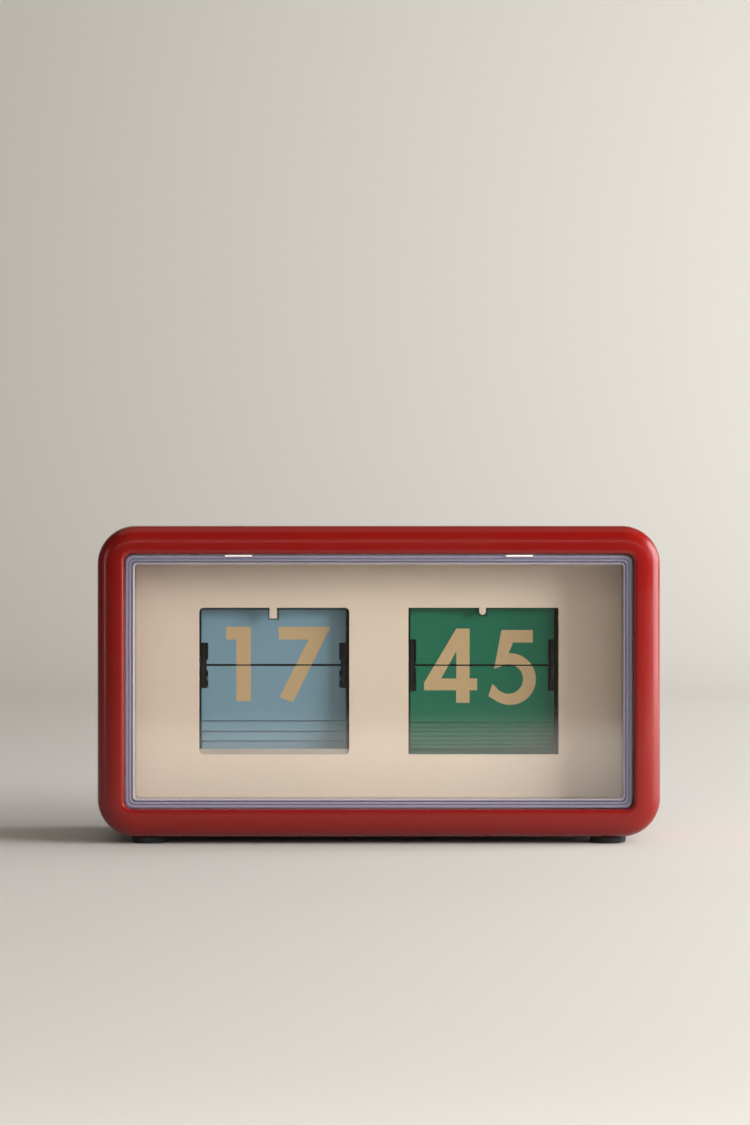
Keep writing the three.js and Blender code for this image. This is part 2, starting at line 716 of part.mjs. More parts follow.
function setWheel() {
  const { radius, x, width, grooves } = SET_WHEEL;
  const rim = [];
  for (let i = 0; i < grooves * 2; i++) {
    const a = (Math.PI * i) / grooves;
    const r = i % 2 ? radius - 0.7 : radius;
    rim.push(new THREE.Vector2(r * Math.cos(a), r * Math.sin(a)));
  }
  const disc = sideways(new THREE.Shape(rim), x, width).translate(0, SET_AXIS.y, SET_AXIS.z);
  const dish = (from, to) => turned(sleeve(5, 14, from, to), "x", [0, SET_AXIS.y, SET_AXIS.z], 24);
  const axle = pinAlong("x", 1.5, 66.4, x + 1, [0, SET_AXIS.y, SET_AXIS.z], 16);
  const hub = pinAlong("x", 2.4, SET_PINION.x + 2.5, x + 1, [0, SET_AXIS.y, SET_AXIS.z], 16);
  return join(cut(disc, dish(x - 1, x + 1.8), dish(x + width - 1.8, x + width + 1)), axle, hub);
}

// A flat spring that clicks over the hour gear's teeth.
function hourDetent() {
  const z = SHAFT.z + 18.9;
  const y = SHAFT.y + 19;
  const arm = box(-10.4, -9.2, -6, y + 0.4, z, z + 0.4);
  const tip = box(-10.4, -9.2, -6.2, -5.6, z, z + 1.4);
  const tail = box(-10.4, -9.2, y, y + 0.4, 60, z + 0.4);
  const flange = box(-10.4, CENTRE_PLATE.x - GAP, y, y + 0.4, 58, 66);
  const hook = box(CENTRE_PLATE.x - 1.2, CENTRE_PLATE.x - GAP, 9, y + 0.4, 58, 66);
  return join(arm, tip, tail, flange, hook);
}

// Rear cover, battery and door -------------------------------------------------------------------------

function rearCover() {
  const { front, rear, width, height, corner } = COVER;
  const plate = slab(width, height, corner, front, rear, { curve: 5 });
  const rim = roundRect(width - 3, height - 3, corner - 1.5, 0, MID_Z);
  rim.holes.push(roundRect(width - 6, height - 6, corner - 3, 0, MID_Z, THREE.Path));
  const lip = cut(
    frontal(rim, front - 3, front + 0.5, { curve: 3 }),
    ...SCREW_PLACES.map(([x, z]) => box(x - 4.2, x + 7, 30, front, z - 4.2, z + 4.2)),
    ...SCREW_PLACES.map(([x, z]) => box(x - 7, x + 4.2, 30, front, z - 4.2, z + 4.2)),
  );
  const middle = (DOOR.left + DOOR.right) / 2;
  const doorHole = box(DOOR.left - 0.5, DOOR.right + 0.5, 30, 45, DOOR.hingeZ - 2.1, DOOR.top + 0.5);
  const { hingeY, hingeZ } = DOOR;
  const lugs = [DOOR.left - 2.2, DOOR.right + 2.2].map((x) =>
    box(x - 1.6, x + 1.6, hingeY - 2, front + 0.5, hingeZ - 2.2, hingeZ + 2.2),
  );
  const pinHole = pinAlong(
    "x",
    0.9,
    middle - 12.6,
    middle + 12.6,
    [0, hingeY, hingeZ],
    12,
  );
  const wheelSlot = box(
    SET_WHEEL.x - 0.6,
    SET_WHEEL.x + SET_WHEEL.width + 0.6,
    30,
    45,
    SET_AXIS.z - 14.4,
    SET_AXIS.z + 14.4,
  );
  const screwHoles = SCREW_PLACES.flatMap(([x, z]) => [
    pinAlong("y", 1.5, 30, 45, [x, 0, z], 12),
    pinAlong("y", 3.1, front + 0.8, 45, [x, 0, z], 16),
  ]);
  return cut(join(plate, lip, ...lugs), doorHole, pinHole, wheelSlot, ...screwHoles);
}

function batteryDoor() {
  const { left, right, top, hingeY: y, hingeZ: z, barrel } = DOOR;
  const panel = box(left, right, y - 0.4, COVER.rear, z, top);
  const roll = pinAlong("x", barrel, left, right, [0, y, z], 16);
  const tongue = box(-87, -81, y - 1.6, y + 0.2, top - 1.4, top);
  const recess = slab(9, 5, 2, COVER.rear - 0.8, 45, { curve: 4 }, (left + right) / 2, top - 5);
  const bore = pinAlong("x", 0.9, left - 1, right + 1, [0, y, z], 12);
  return cut(join(panel, roll, tongue), recess, bore);
}

function batteryTray() {
  const wall = 1.2;
  const half = CELL.radius + 0.4 + wall;
  const [bottom, top] = [CELL.bottom - 5, CELL.bottom + CELL.length + 5];
  const front = CELL.y - CELL.radius - 0.4 - wall;
  const outer = box(CELL.x - half, CELL.x + half, front, 35, bottom, top);
  const inner = box(
    CELL.x - half + wall,
    CELL.x + half - wall,
    front + wall,
    40,
    bottom + wall,
    top - wall,
  );
  return cut(outer, inner);
}

function cell() {
  const { x, y, bottom, length, radius } = CELL;
  const profile = [
    [0, 0],
    [radius - 0.6, 0],
    [radius, 0.6],
    [radius, length - 2],
    [radius - 0.8, length - 1.2],
    [2.7, length - 1.2],
    [2.7, length],
    [0, length],
  ];
  return turned(profile, "z", [x, y, bottom], 24);
}

class Helix extends THREE.Curve {
  constructor(centre, radius, rise, turns) {
    super();
    Object.assign(this, { centre, radius, rise, turns });
  }
  getPoint(t, target = new THREE.Vector3()) {
    const a = 2 * Math.PI * this.turns * t;
    const r = this.radius * (1 - 0.3 * t);
    return target.set(r * Math.cos(a), r * Math.sin(a), this.rise * t).add(this.centre);
  }
}

// A tube of the given radius along a curve.
function tube(curve, radius, steps, sides) {
  const section = new THREE.Shape();
  for (let i = 0; i < sides; i++) {
    const a = (2 * Math.PI * i) / sides;
    if (i) section.lineTo(radius * Math.cos(a), radius * Math.sin(a));
    else section.moveTo(radius, 0);
  }
  return solid(new THREE.ExtrudeGeometry(section, { steps, extrudePath: curve }));
}

function batterySpring() {
  const start = new THREE.Vector3(CELL.x, CELL.y, CELL.bottom - 3.2);
  return tube(new Helix(start, 4.6, 2.6, 3), 0.3, 36, 6);
}

// A lead along the route, moved aside and down to lie beside its partner.
function lead(route, aside, down) {
  const points = route.map(([x, y, z], i) => {
    const inside = i > 0 && i < route.length - 1;
    return new THREE.Vector3(x + aside, y, z + (inside ? down : 0));
  });
  return tube(new THREE.CatmullRomCurve3(points), 0.65, 34, 6);
}

// The clock ------------------------------------------------------------------------------------------------

const clock = new THREE.Group();
const add = (name, body, material) => clock.add(meshOf(name, body, material));

add("case_shell", caseShell(), RED);
add("lens", lens(), CLEAR);
add("face_plate", facePlate(), CREAM);
for (const [place, x, y] of FOOT_PLACES) add("foot_" + place, foot(x, y), RUBBER);
PLATE_SCREW_PLACES.forEach(([x, z], i) => {
  const body = screw("y", 2.4, 0.9, PLATE.rear + 1.8, PLATE.rear + GAP, -31, [x, 0, z]);
  add("face_plate_screw_" + (i + 1), body, STEEL);
});

for (const mesh of leafMeshes(HOURS, BLUE)) clock.add(mesh);
for (const mesh of leafMeshes(MINUTES, GREEN)) clock.add(mesh);
add("hour_drum", drum(HOURS, -66.8, HOUR_GEAR.x + HOUR_GEAR.width), BLACK);
add("minute_drum", drum(MINUTES, MINUTE_PINION.x, 69.4), BLACK);
add("hour_gear", gear(HOUR_GEAR, SLOW_MODULE, HOUR_PHASE, SHAFT, HUB_BORE), WHITE);
add("minute_pinion", gear(MINUTE_PINION, SPIN_MODULE, PINION_PHASE, SHAFT, HUB_BORE), WHITE);
add("minute_wheel", gear(MINUTE_WHEEL, SLOW_MODULE, 0, SHAFT, HUB_BORE), WHITE);
add("idler_gear", idlerGear(), WHITE);
add("idler_stud", idlerStud(), STEEL);
add("drum_shaft", drumShaft(), STEEL);
add("shaft_clip", shaftClip(), STEEL);
add("hour_detent_spring", hourDetent(), STEEL);

add("chassis_frame", chassisFrame(), STEEL);
add("centre_plate", centrePlate(), STEEL);
CHASSIS_SCREWS.forEach(([x, y], i) => {
  const face = CHASSIS.base + CHASSIS.thick;
  const body = screw("z", 2.6, 1, face + 1.8, face + GAP, 4.4, [x, y, 0]);
  add("chassis_screw_" + (i + 1), body, STEEL);
});
add("movement_housing", movementHousing(), BLACK);
add("drive_pinion", drivePinion(), WHITE);
add("set_pinion", gear(SET_PINION, SLOW_MODULE, SET_PHASE, SET_AXIS, 1.8), WHITE);
add("set_wheel", setWheel(), BLACK);

add("rear_cover", rearCover(), RED_MATTE);
SCREW_PLACES.forEach(([x, z], i) => {
  const body = screw("y", 2.8, 1.1, COVER.rear - 0.1, COVER.front + 1.1, 24, [x, 0, z]);
  add("rear_cover_screw_" + (i + 1), body, STEEL);
});
add("battery_tray", batteryTray(), BLACK);
add("battery_cell", cell(), CELL_WRAP);
add("battery_spring", batterySpring(), STEEL);
add(
  "battery_contact",
  box(CELL.x - 5, CELL.x + 5, CELL.y - 5, CELL.y + 5, 86.6, 87.1),
  BRASS,
);
add("battery_door", batteryDoor(), RED_MATTE);
add(
  "door_pin",
  pinAlong("x", 0.6, DOOR.left - 2.6, DOOR.right + 2.6, [0, DOOR.hingeY, DOOR.hingeZ], 10),
  STEEL,
);
const LEAD_ROUTE = [
  [-84, 17, 38],
  [-84, 18, 26],
  [-82, 26, 16],
  [-74, 32.4, 13.5],
  [-55, 33, 13],
  [0, 33, 13],
  [55, 33, 13],
  [76, 32.2, 13.5],
  [80, 20, 13.5],
  [80, 0, 14],
  [80, -5.9, 23.6],
];
add("lead_positive", lead(LEAD_ROUTE, 0, 0), LEAD_RED);
add("lead_negative", lead(LEAD_ROUTE, 2, -2.2), BLACK);

export default clock;
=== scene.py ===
"""The looks of a flip number clock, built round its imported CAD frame: +X right, front along -Y, +Z up.

Sizes here are millimetres, and finish_mesh turns them into the frame's metres.
"""
import json
import math

import bmesh
import bpy
from mathutils import Matrix, Vector


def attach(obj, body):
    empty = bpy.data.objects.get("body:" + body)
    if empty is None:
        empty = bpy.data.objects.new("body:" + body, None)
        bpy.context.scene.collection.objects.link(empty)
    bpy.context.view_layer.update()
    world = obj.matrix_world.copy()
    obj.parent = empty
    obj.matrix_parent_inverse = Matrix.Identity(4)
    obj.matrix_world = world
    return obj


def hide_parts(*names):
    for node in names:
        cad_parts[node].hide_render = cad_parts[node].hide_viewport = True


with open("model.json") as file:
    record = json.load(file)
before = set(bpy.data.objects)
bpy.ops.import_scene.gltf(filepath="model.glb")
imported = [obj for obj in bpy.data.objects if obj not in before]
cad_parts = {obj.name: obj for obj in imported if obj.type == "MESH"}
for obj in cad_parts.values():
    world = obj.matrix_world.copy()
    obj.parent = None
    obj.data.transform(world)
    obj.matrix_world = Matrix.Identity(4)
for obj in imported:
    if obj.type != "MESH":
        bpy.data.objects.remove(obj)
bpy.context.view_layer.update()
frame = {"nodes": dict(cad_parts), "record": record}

MM = 0.001

# Driving sizes in millimetres, as the frame has them
FEET = 2.6  # from the table to the case
CASE_Z = FEET + 113.3 / 2  # middle height of the case, lens and face plate
CASE_HALF = (102.5, 56.65)
CASE_CORNER = 14
RIM_DEPTH, RIM_REACH = 6.5, 8.4  # the rims' outer rounding, a quarter of an ellipse
MOUTH_ROUND = 1.4
OPENING_HALF = (92.5, 46.3)
OPENING_CORNER = 3
TUNNEL_HALF = (95.3, 49.1)
CAVITY_HALF = (99.5, 53.65)
FRONT_Y, REAR_Y = -42.5, 40.5
LATCH_X, LATCH_HALF = 51, 5.2  # the two latches on the lens's top edge
PLATE_FRONT, PLATE_REAR = -20.6, -19.0
PLATE_HALF, PLATE_CORNER = (98.7, 52.8), 9
WINDOW_X, WINDOW_Z = 38.7, 58.65
WINDOW_HALF = (27.75, 27.1)
SPLIT_Z = 64.4
SPLIT_GAP = 0.5
LEAF_THICK = 0.4
LEAF_PITCH = 0.7
LEAF_EDGE = 0.16  # rounding of a leaf's cut edges
SHAFT_Y = 0.6
INK = 0.02  # thickness of the printed digits
HOURS = dict(
    name="hour", x=-39.05, width=54, length=20.5, pivot=15.2, disc=16.6, disc_thick=1.5, leaves=24,
    notch=(2.5, 8.2), ear=1.9, hanging=4, tab=(2.7, 3.9), window_round=1.6, hubs=(-66.8, -8.5),
    slot="blue_leaf",
)
MINUTES = dict(
    name="minute", x=38.35, width=53.6, length=21, pivot=17, disc=18.7, disc_thick=1.3, leaves=60,
    notch=(2.2, 9.5), ear=0.9, hanging=7, tab=(2.45, 2.6), window_round=0.15, hubs=(-8, 69.4),
    slot="green_leaf",
)
COVER_FRONT, COVER_REAR = 36.2, 38.6
COVER_SCREWS = [(-93, 12), (93, 12), (-93, 106.5), (93, 106.5)]
DOOR_X, DOOR_Z = (-93.5, -74.5), (33, 90)  # the battery door, which swings about its lower edge
WHEEL_X, WHEEL_Y, WHEEL_Z, WHEEL_RADIUS = (75, 81), 24.2, 68.76, 18.3
FOOT_X, FOOT_Y = 84, 29
CELL_PLACE = (-84, 27, 36)
SHARP_ANGLE = 32  # edges steeper than this many degrees stay crisp

# Camera -------------------------------------------------------------------------------------------------

CAMERA = Vector((-1.4, -1136.5, 102.5)) * MM
camera = bpy.data.objects.new("camera", bpy.data.cameras.new("camera"))
bpy.context.scene.collection.objects.link(camera)
camera.location = CAMERA
camera.rotation_euler = (math.pi / 2, 0, 0)
camera.data.sensor_width = 36
camera.data.lens = 96.6
bpy.context.scene.camera = camera

# Materials ------------------------------------------------------------------------------------------------


def srgb(r, g, b):
    """A display colour, 0 to 255, as linear RGBA."""
    def lin(v):
        v /= 255
        return v / 12.92 if v <= 0.04045 else ((v + 0.055) / 1.055) ** 2.4
    return (lin(r), lin(g), lin(b), 1)


class Look:
    """A Principled material with helpers that add procedural detail in object space."""

    def __init__(self, name, color, roughness, **sockets):
        self.mat = bpy.data.materials.new(name)
        self.mat.use_nodes = True
        self.nodes = self.mat.node_tree.nodes
        self.links = self.mat.node_tree.links
        self.shader = self.nodes["Principled BSDF"]
        self.shader.inputs["Base Color"].default_value = color
        self.shader.inputs["Roughness"].default_value = roughness
        for key, value in sockets.items():
            self.shader.inputs[key.replace("_", " ")].default_value = value
        self.color, self.roughness = color, roughness
        self.space = self.nodes.new("ShaderNodeTexCoord").outputs["Object"]

    def noise(self, scale, detail=3, stretch=(1, 1, 1), roughness=0.5):
        """Noise in object space; scale is features per metre."""
        place = self.nodes.new("ShaderNodeMapping")
        place.inputs["Scale"].default_value = stretch
        self.links.new(self.space, place.inputs["Vector"])
        node = self.nodes.new("ShaderNodeTexNoise")
        node.inputs["Scale"].default_value = scale
        node.inputs["Detail"].default_value = detail
        node.inputs["Roughness"].default_value = roughness
        self.links.new(place.outputs["Vector"], node.inputs["Vector"])
        return node.outputs["Fac"]

    def ramp(self, source, low, high, value_low=0.0, value_high=1.0):
        """source between low and high becomes a value between value_low and value_high."""
        node = self.nodes.new("ShaderNodeMapRange")
        node.inputs["From Min"].default_value = low
        node.inputs["From Max"].default_value = high
        node.inputs["To Min"].default_value = value_low
        node.inputs["To Max"].default_value = value_high
        self.links.new(source, node.inputs["Value"])
        return node.outputs["Result"]

    def tint(self, source, other, socket="Base Color"):
        """The base colour turns into other where source is 1."""
        node = self.nodes.new("ShaderNodeMix")
        node.data_type = "RGBA"
        linked = self.shader.inputs[socket].links
        if linked:
            self.links.new(linked[0].from_socket, node.inputs["A"])
        else:
            node.inputs["A"].default_value = self.color
        node.inputs["B"].default_value = other
        self.links.new(source, node.inputs["Factor"])
        self.links.new(node.outputs["Result"], self.shader.inputs[socket])
        return self

    def rough(self, source, low, high):
        self.links.new(self.ramp(source, 0.3, 0.7, low, high), self.shader.inputs["Roughness"])
        return self

    def bump(self, source, distance, strength=0.5):
        """Relief of distance metres, laid over any that the material has."""
        node = self.nodes.new("ShaderNodeBump")
        node.inputs["Distance"].default_value = distance
        node.inputs["Strength"].default_value = strength
        self.links.new(source, node.inputs["Height"])
        before = self.shader.inputs["Normal"].links
        if before:
            self.links.new(before[0].from_socket, node.inputs["Normal"])
        self.links.new(node.outputs["Normal"], self.shader.inputs["Normal"])
        return self


def gloss_red():
    look = Look("case_gloss_red", srgb(115, 11, 7), 0.2)
    look.tint(look.ramp(look.noise(14, 2), 0.3, 0.7, 0, 0.35), srgb(107, 9, 6))
    look.rough(look.noise(60, 3), 0.16, 0.26)
    return look.bump(look.noise(1800, 2), 0.000003, 0.2).mat


def matte_red():
    look = Look("cover_textured_red", srgb(140, 22, 21), 0.5)
    look.tint(look.ramp(look.noise(20, 2), 0.3, 0.7, 0, 0.4), srgb(122, 17, 17))
    look.rough(look.noise(160, 3), 0.42, 0.58)
    look.bump(look.noise(2200, 3, roughness=0.7), 0.00012, 0.6)
    return look.mat


def cream():
    look = Look("plate_cream", srgb(233, 215, 194), 0.5)
    look.tint(look.ramp(look.noise(9, 2), 0.35, 0.7, 0, 0.3), srgb(223, 204, 183))
    look.tint(look.ramp(look.noise(900, 3), 0.35, 0.75, 0, 0.22), srgb(214, 196, 176))
    look.rough(look.noise(300, 3), 0.44, 0.58)
    return look.bump(look.noise(2400, 3, roughness=0.7), 0.00006, 0.5).mat


def leaf_look(name, color, shade):
    look = Look(name, color, 0.45, Specular_IOR_Level=0.2)
    look.tint(look.ramp(look.noise(30, 3, (1, 1, 0.35)), 0.3, 0.75, 0, 0.5), shade)
    look.rough(look.noise(140, 3, (1, 1, 0.3)), 0.36, 0.52)
    return look.bump(look.noise(1500, 3), 0.00001, 0.3).mat


def ink():
    look = Look("digit_ink", srgb(200, 172, 128), 0.5)
    look.tint(look.ramp(look.noise(700, 4), 0.4, 0.75, 0, 0.35), srgb(185, 157, 114))
    look.rough(look.noise(400, 3), 0.42, 0.6)
    return look.bump(look.noise(1800, 3), 0.00002, 0.4).mat


def plastic(name, color, roughness, grain=1500):
    look = Look(name, color, roughness)
    look.tint(look.ramp(look.noise(60, 3), 0.35, 0.75, 0, 0.35), tuple(c * 0.7 for c in color[:3]) + (1,))
    look.rough(look.noise(220, 3), roughness - 0.08, roughness + 0.1)
    return look.bump(look.noise(grain, 3), 0.00004, 0.5).mat


def rubber():
    look = Look("foot_rubber", srgb(30, 30, 31), 0.85)
    look.tint(look.ramp(look.noise(400, 4), 0.45, 0.75, 0, 0.5), srgb(52, 51, 50))
    return look.bump(look.noise(2600, 4, roughness=0.8), 0.0001, 0.7).mat


def metal(name, color, roughness, along=(1, 12, 12)):
    """Metal brushed along the axis whose stretch is least."""
    look = Look(name, color, roughness, Metallic=1.0)
    grain = look.noise(900, 4, along, 0.7)
    look.tint(look.ramp(grain, 0.3, 0.75, 0, 0.4), tuple(c * 0.72 for c in color[:3]) + (1,))
    look.rough(grain, roughness - 0.08, roughness + 0.14)
    return look.bump(grain, 0.00002, 0.4).mat


def painted():
    look = Look("chassis_paint", srgb(48, 49, 52), 0.5)
    look.tint(look.ramp(look.noise(1300, 5), 0.6, 0.72), srgb(92, 92, 94))
    look.rough(look.noise(260, 3), 0.4, 0.6)
    return look.bump(look.noise(1600, 3), 0.00005, 0.5).mat


def cell_wrap():
    """A plain cell's printed sleeve: dark, with a pale band at its upper end."""
    look = Look("cell_sleeve", srgb(38, 52, 66), 0.3, Coat_Weight=0.3)
    split = look.nodes.new("ShaderNodeSeparateXYZ")
    look.links.new(look.space, split.inputs["Vector"])
    look.tint(look.ramp(split.outputs["Z"], 0.0722, 0.0724), srgb(196, 160, 92))
    look.tint(look.ramp(split.outputs["Z"], 0.0846, 0.0848), srgb(176, 178, 180))
    look.rough(look.noise(200, 3), 0.24, 0.4)
    return look.bump(look.noise(300, 2), 0.00003, 0.3).mat


def see_through(mat, surface, tint, floor):
    """Light goes straight through, tinted, but for the surface's own share: floor face on, all at a slant."""
    nodes, links = mat.node_tree.nodes, mat.node_tree.links
    through = nodes.new("ShaderNodeBsdfTransparent")
    through.inputs["Color"].default_value = tint
    slant = nodes.new("ShaderNodeLayerWeight")
    slant.inputs["Blend"].default_value = 0.5
    steep = nodes.new("ShaderNodeMath")
    steep.operation = "POWER"
    steep.inputs[1].default_value = 5
    share = nodes.new("ShaderNodeMapRange")
    share.inputs["To Min"].default_value = floor
    mix = nodes.new("ShaderNodeMixShader")
    links.new(slant.outputs["Facing"], steep.inputs[0])
    links.new(steep.outputs["Value"], share.inputs["Value"])
    links.new(share.outputs["Result"], mix.inputs["Fac"])
    links.new(through.outputs["BSDF"], mix.inputs[1])
    links.new(surface.outputs["BSDF"], mix.inputs[2])
    links.new(mix.outputs["Shader"], nodes["Material Output"].inputs["Surface"])
    return mat


def thin_clear(name, tint, body, floor, gloss):
    """Clear plastic seen edge on: a shiny surface with a body colour, the rim's own tint, painted shade in
    the groove and a painted highlight on the lip.
    """
    look = Look(name, body, gloss, IOR=1.49)
    look.rough(look.noise(120, 2), gloss, gloss + 0.05)
    return see_through(look.mat, look.shader, tint, floor)


def pane_clear():
    """The pane, which mirrors a little at each surface."""
    mat = bpy.data.materials.new("lens_pane")
    mat.use_nodes = True
    nodes = mat.node_tree.nodes
    nodes.remove(nodes["Principled BSDF"])
    shine = nodes.new("ShaderNodeBsdfGlossy")
    shine.inputs["Roughness"].default_value = 0.07
    return see_through(mat, shine, (0.985, 0.985, 0.99, 1), 0.11)


RED, RED_MATTE, CREAM, RUBBER, INK_LOOK = gloss_red(), matte_red(), cream(), rubber(), ink()
BLUE = leaf_look("leaf_blue", srgb(126, 160, 175), srgb(114, 150, 166))
GREEN = leaf_look("leaf_green", srgb(31, 116, 87), srgb(24, 102, 75))
# The leaves' edge colours, far darker than their faces, are painted shade for the thin dark lines under the
# leaf tips.
BLUE_EDGE_SHADE = plastic("leaf_blue_edge_painted_shade", srgb(52, 62, 66), 0.6)
GREEN_EDGE_SHADE = plastic("leaf_green_edge_painted_shade", srgb(8, 58, 40), 0.6)
BLACK = plastic("black_plastic", srgb(16, 16, 17), 0.5)
WHITE = plastic("nylon_white", srgb(222, 217, 202), 0.42)
STEEL = metal("steel", srgb(190, 191, 194), 0.3)
BRASS = metal("brass", srgb(196, 160, 92), 0.3)
PAINTED = painted()
CELL = cell_wrap()
LEAD_RED = plastic("lead_red", srgb(165, 26, 24), 0.4)
LEAD_BLACK = plastic("lead_black", srgb(28, 28, 30), 0.4)
PANE = pane_clear()
LENS_RIM = thin_clear("lens_rim", (0.86, 0.86, 0.95, 1), (0.34, 0.33, 0.46, 1), 0.45, 0.08)
# The groove's near-black body colour is painted shade along the rim.
LENS_GROOVE_SHADE = thin_clear("lens_groove_painted_shade", (0.6, 0.6, 0.75, 1), (0.09, 0.08, 0.1, 1), 0.8, 0.1)
# The lip's pale body colour is a painted highlight along the lens's inner edge.
LENS_LIP_HIGHLIGHT = thin_clear("lens_lip_painted_highlight", (0.9, 0.9, 0.95, 1), (0.46, 0.42, 0.43, 1), 0.55, 0.1)
# The latch tips are opaque near-white, a painted highlight where the clear tabs catch the light.
LATCH_HIGHLIGHT = plastic("lens_latch_painted_highlight", srgb(236, 226, 220), 0.3)
# The step behind the hour window is a darker cream, painted shade for its recess.
SILL_SHADE = plastic("plate_sill_painted_shade", srgb(176, 166, 154), 0.55)

# Mesh building -----------------------------------------------------------------------------------------


def finish_mesh(name, bm, materials, body, nodes=(), weighted=True):
    """The bmesh, in millimetres, as a smooth-shaded piece that rides on a body and stands for CAD nodes."""
    bmesh.ops.recalc_face_normals(bm, faces=bm.faces)
    bmesh.ops.scale(bm, vec=(MM, MM, MM), verts=bm.verts)
    mesh = bpy.data.meshes.new(name)
    bm.to_mesh(mesh)
    bm.free()
    obj = bpy.data.objects.new(name, mesh)
    bpy.context.scene.collection.objects.link(obj)
    for material in materials:
        mesh.materials.append(material)
    mesh.shade_smooth()
    mesh.set_sharp_from_angle(angle=math.radians(SHARP_ANGLE))
    if weighted:
        modifier = obj.modifiers.new("even_normals", "WEIGHTED_NORMAL")
        modifier.keep_sharp = True
    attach(obj, body)
    if nodes:
        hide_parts(*nodes)
    return obj


def ring(half_x, half_z, corner, steps=14):
    """Points (x, z) of a rounded rectangle round the case's middle, anticlockwise from its lower right."""
    points = []
    for turn, (sx, sz) in enumerate([(1, -1), (1, 1), (-1, 1), (-1, -1)]):
        for i in range(steps + 1):
            a = math.pi / 2 * (turn - 1 + i / steps)
            points.append((
                sx * (half_x - corner) + corner * math.cos(a),
                CASE_Z + sz * (half_z - corner) + corner * math.sin(a),
            ))
    return points


def loft(bm, sections, closed=False, caps=None, steps=14):
    """Skins rounded rectangles (half_x, half_z, corner, y, material) one to the next. The material is that
    of the skin after its section; caps closes both ends with a material."""
    rings = [
        [bm.verts.new((x, section[3], z)) for x, z in ring(*section[:3], steps)] for section in sections
    ]
    pairs = list(zip(rings, rings[1:] + rings[:1], sections))
    for a, b, section in pairs if closed else pairs[:-1]:
        for i in range(len(a)):
            j = (i + 1) % len(a)
            face = bm.faces.new((a[i], a[j], b[j], b[i]))
            face.material_index = section[4] if len(section) > 4 else 0
    if caps is not None:
        for end in (rings[0], list(reversed(rings[-1]))):
            bm.faces.new(end).material_index = caps


def arc(centre, radius, start, end, steps):
    """Points on an arc, angles in degrees."""
    return [
        (
            centre[0] + radius * math.cos(math.radians(start + (end - start) * i / steps)),
            centre[1] + radius * math.sin(math.radians(start + (end - start) * i / steps)),
        )
        for i in range(steps + 1)
    ]


def sheet_mesh(outlines, y_front, y_rear, bevel=0.0, sideways=False):
    """A flat piece as a bmesh in millimetres: closed outlines, the later ones holes, between two depths,
    drawn as (x, z) seen from the front, or as (y, z) seen from the right and extruded along x."""
    curve = bpy.data.curves.new("outline", "CURVE")
    curve.dimensions = "2D"
    curve.fill_mode = "BOTH"
    curve.extrude = abs(y_rear - y_front) / 2 - bevel
    curve.bevel_depth = bevel
    curve.bevel_resolution = 2
    curve.offset = -bevel
    for outline in outlines:
        spline = curve.splines.new("POLY")
        spline.points.add(len(outline) - 1)
        for point, (x, z) in zip(spline.points, outline):
            point.co = (x, z, 0, 1)
        spline.use_cyclic_u = True
    obj = bpy.data.objects.new("outline", curve)
    bpy.context.scene.collection.objects.link(obj)
    bpy.context.view_layer.update()
    mesh = bpy.data.meshes.new_from_object(obj.evaluated_get(bpy.context.evaluated_depsgraph_get()))
    bm = bmesh.new()
    bm.from_mesh(mesh)
    bmesh.ops.remove_doubles(bm, verts=bm.verts, dist=0.001)
    middle = (y_front + y_rear) / 2
    for v in bm.verts:
        x, z, depth = v.co
        v.co = (middle + depth, x, z) if sideways else (x, middle - depth, z)
    bpy.data.objects.remove(obj)
    bpy.data.curves.remove(curve)
    bpy.data.meshes.remove(mesh)
    return bm


def turned(profile, axis, centre, steps=48):
    """A turned piece as a bmesh: (radius, distance) pairs along axis x, y or z through centre."""
    bm = bmesh.new()
    rows = []
    for radius, along in profile:
        row = []
        for i in range(steps if radius > 0 else 1):
            a = 2 * math.pi * i / steps
            c, s = radius * math.cos(a), radius * math.sin(a)
            place = {"x": (along, c, s), "y": (c, along, s), "z": (c, s, along)}[axis]
            row.append(bm.verts.new(Vector(place) + Vector(centre)))
        rows.append(row)
    for a, b in zip(rows, rows[1:]):
        for i in range(steps):
            j = (i + 1) % steps
            corners = [a[i % len(a)], a[j % len(a)], b[j % len(b)], b[i % len(b)]]
            unique = list(dict.fromkeys(corners))
            if len(unique) > 2:
                bm.faces.new(unique)
    return bm


def rounded_profile(radius, low, high, edge, steps=5):
    """The profile of a solid disc with rounded rims."""
    lower = arc((radius - edge, low + edge), edge, -90, 0, steps)
    upper = arc((radius - edge, high - edge), edge, 0, 90, steps)
    return [(0, low), *lower, *upper, (0, high)]


def carve(obj, *tools):
    """Cuts the tool meshes out of obj."""
    for tool in tools:
        mesh = bpy.data.meshes.new("tool")
        bmesh.ops.recalc_face_normals(tool, faces=tool.faces)
        bmesh.ops.scale(tool, vec=(MM, MM, MM), verts=tool.verts)
        tool.to_mesh(mesh)
        tool.free()
        cutter = bpy.data.objects.new("tool", mesh)
        bpy.context.scene.collection.objects.link(cutter)
        modifier = obj.modifiers.new("cut", "BOOLEAN")
        modifier.operation = "DIFFERENCE"
        modifier.solver = "EXACT"
        modifier.object = cutter
        obj.modifiers.move(len(obj.modifiers) - 1, 0)
        bpy.context.view_layer.update()
        shaped = bpy.data.meshes.new_from_object(
            obj.evaluated_get(bpy.context.evaluated_depsgraph_get())
        )
        obj.modifiers.remove(modifier)
        obj.data = shaped
        bpy.data.objects.remove(cutter)
    obj.data.set_sharp_from_angle(angle=math.radians(SHARP_ANGLE))
    return obj


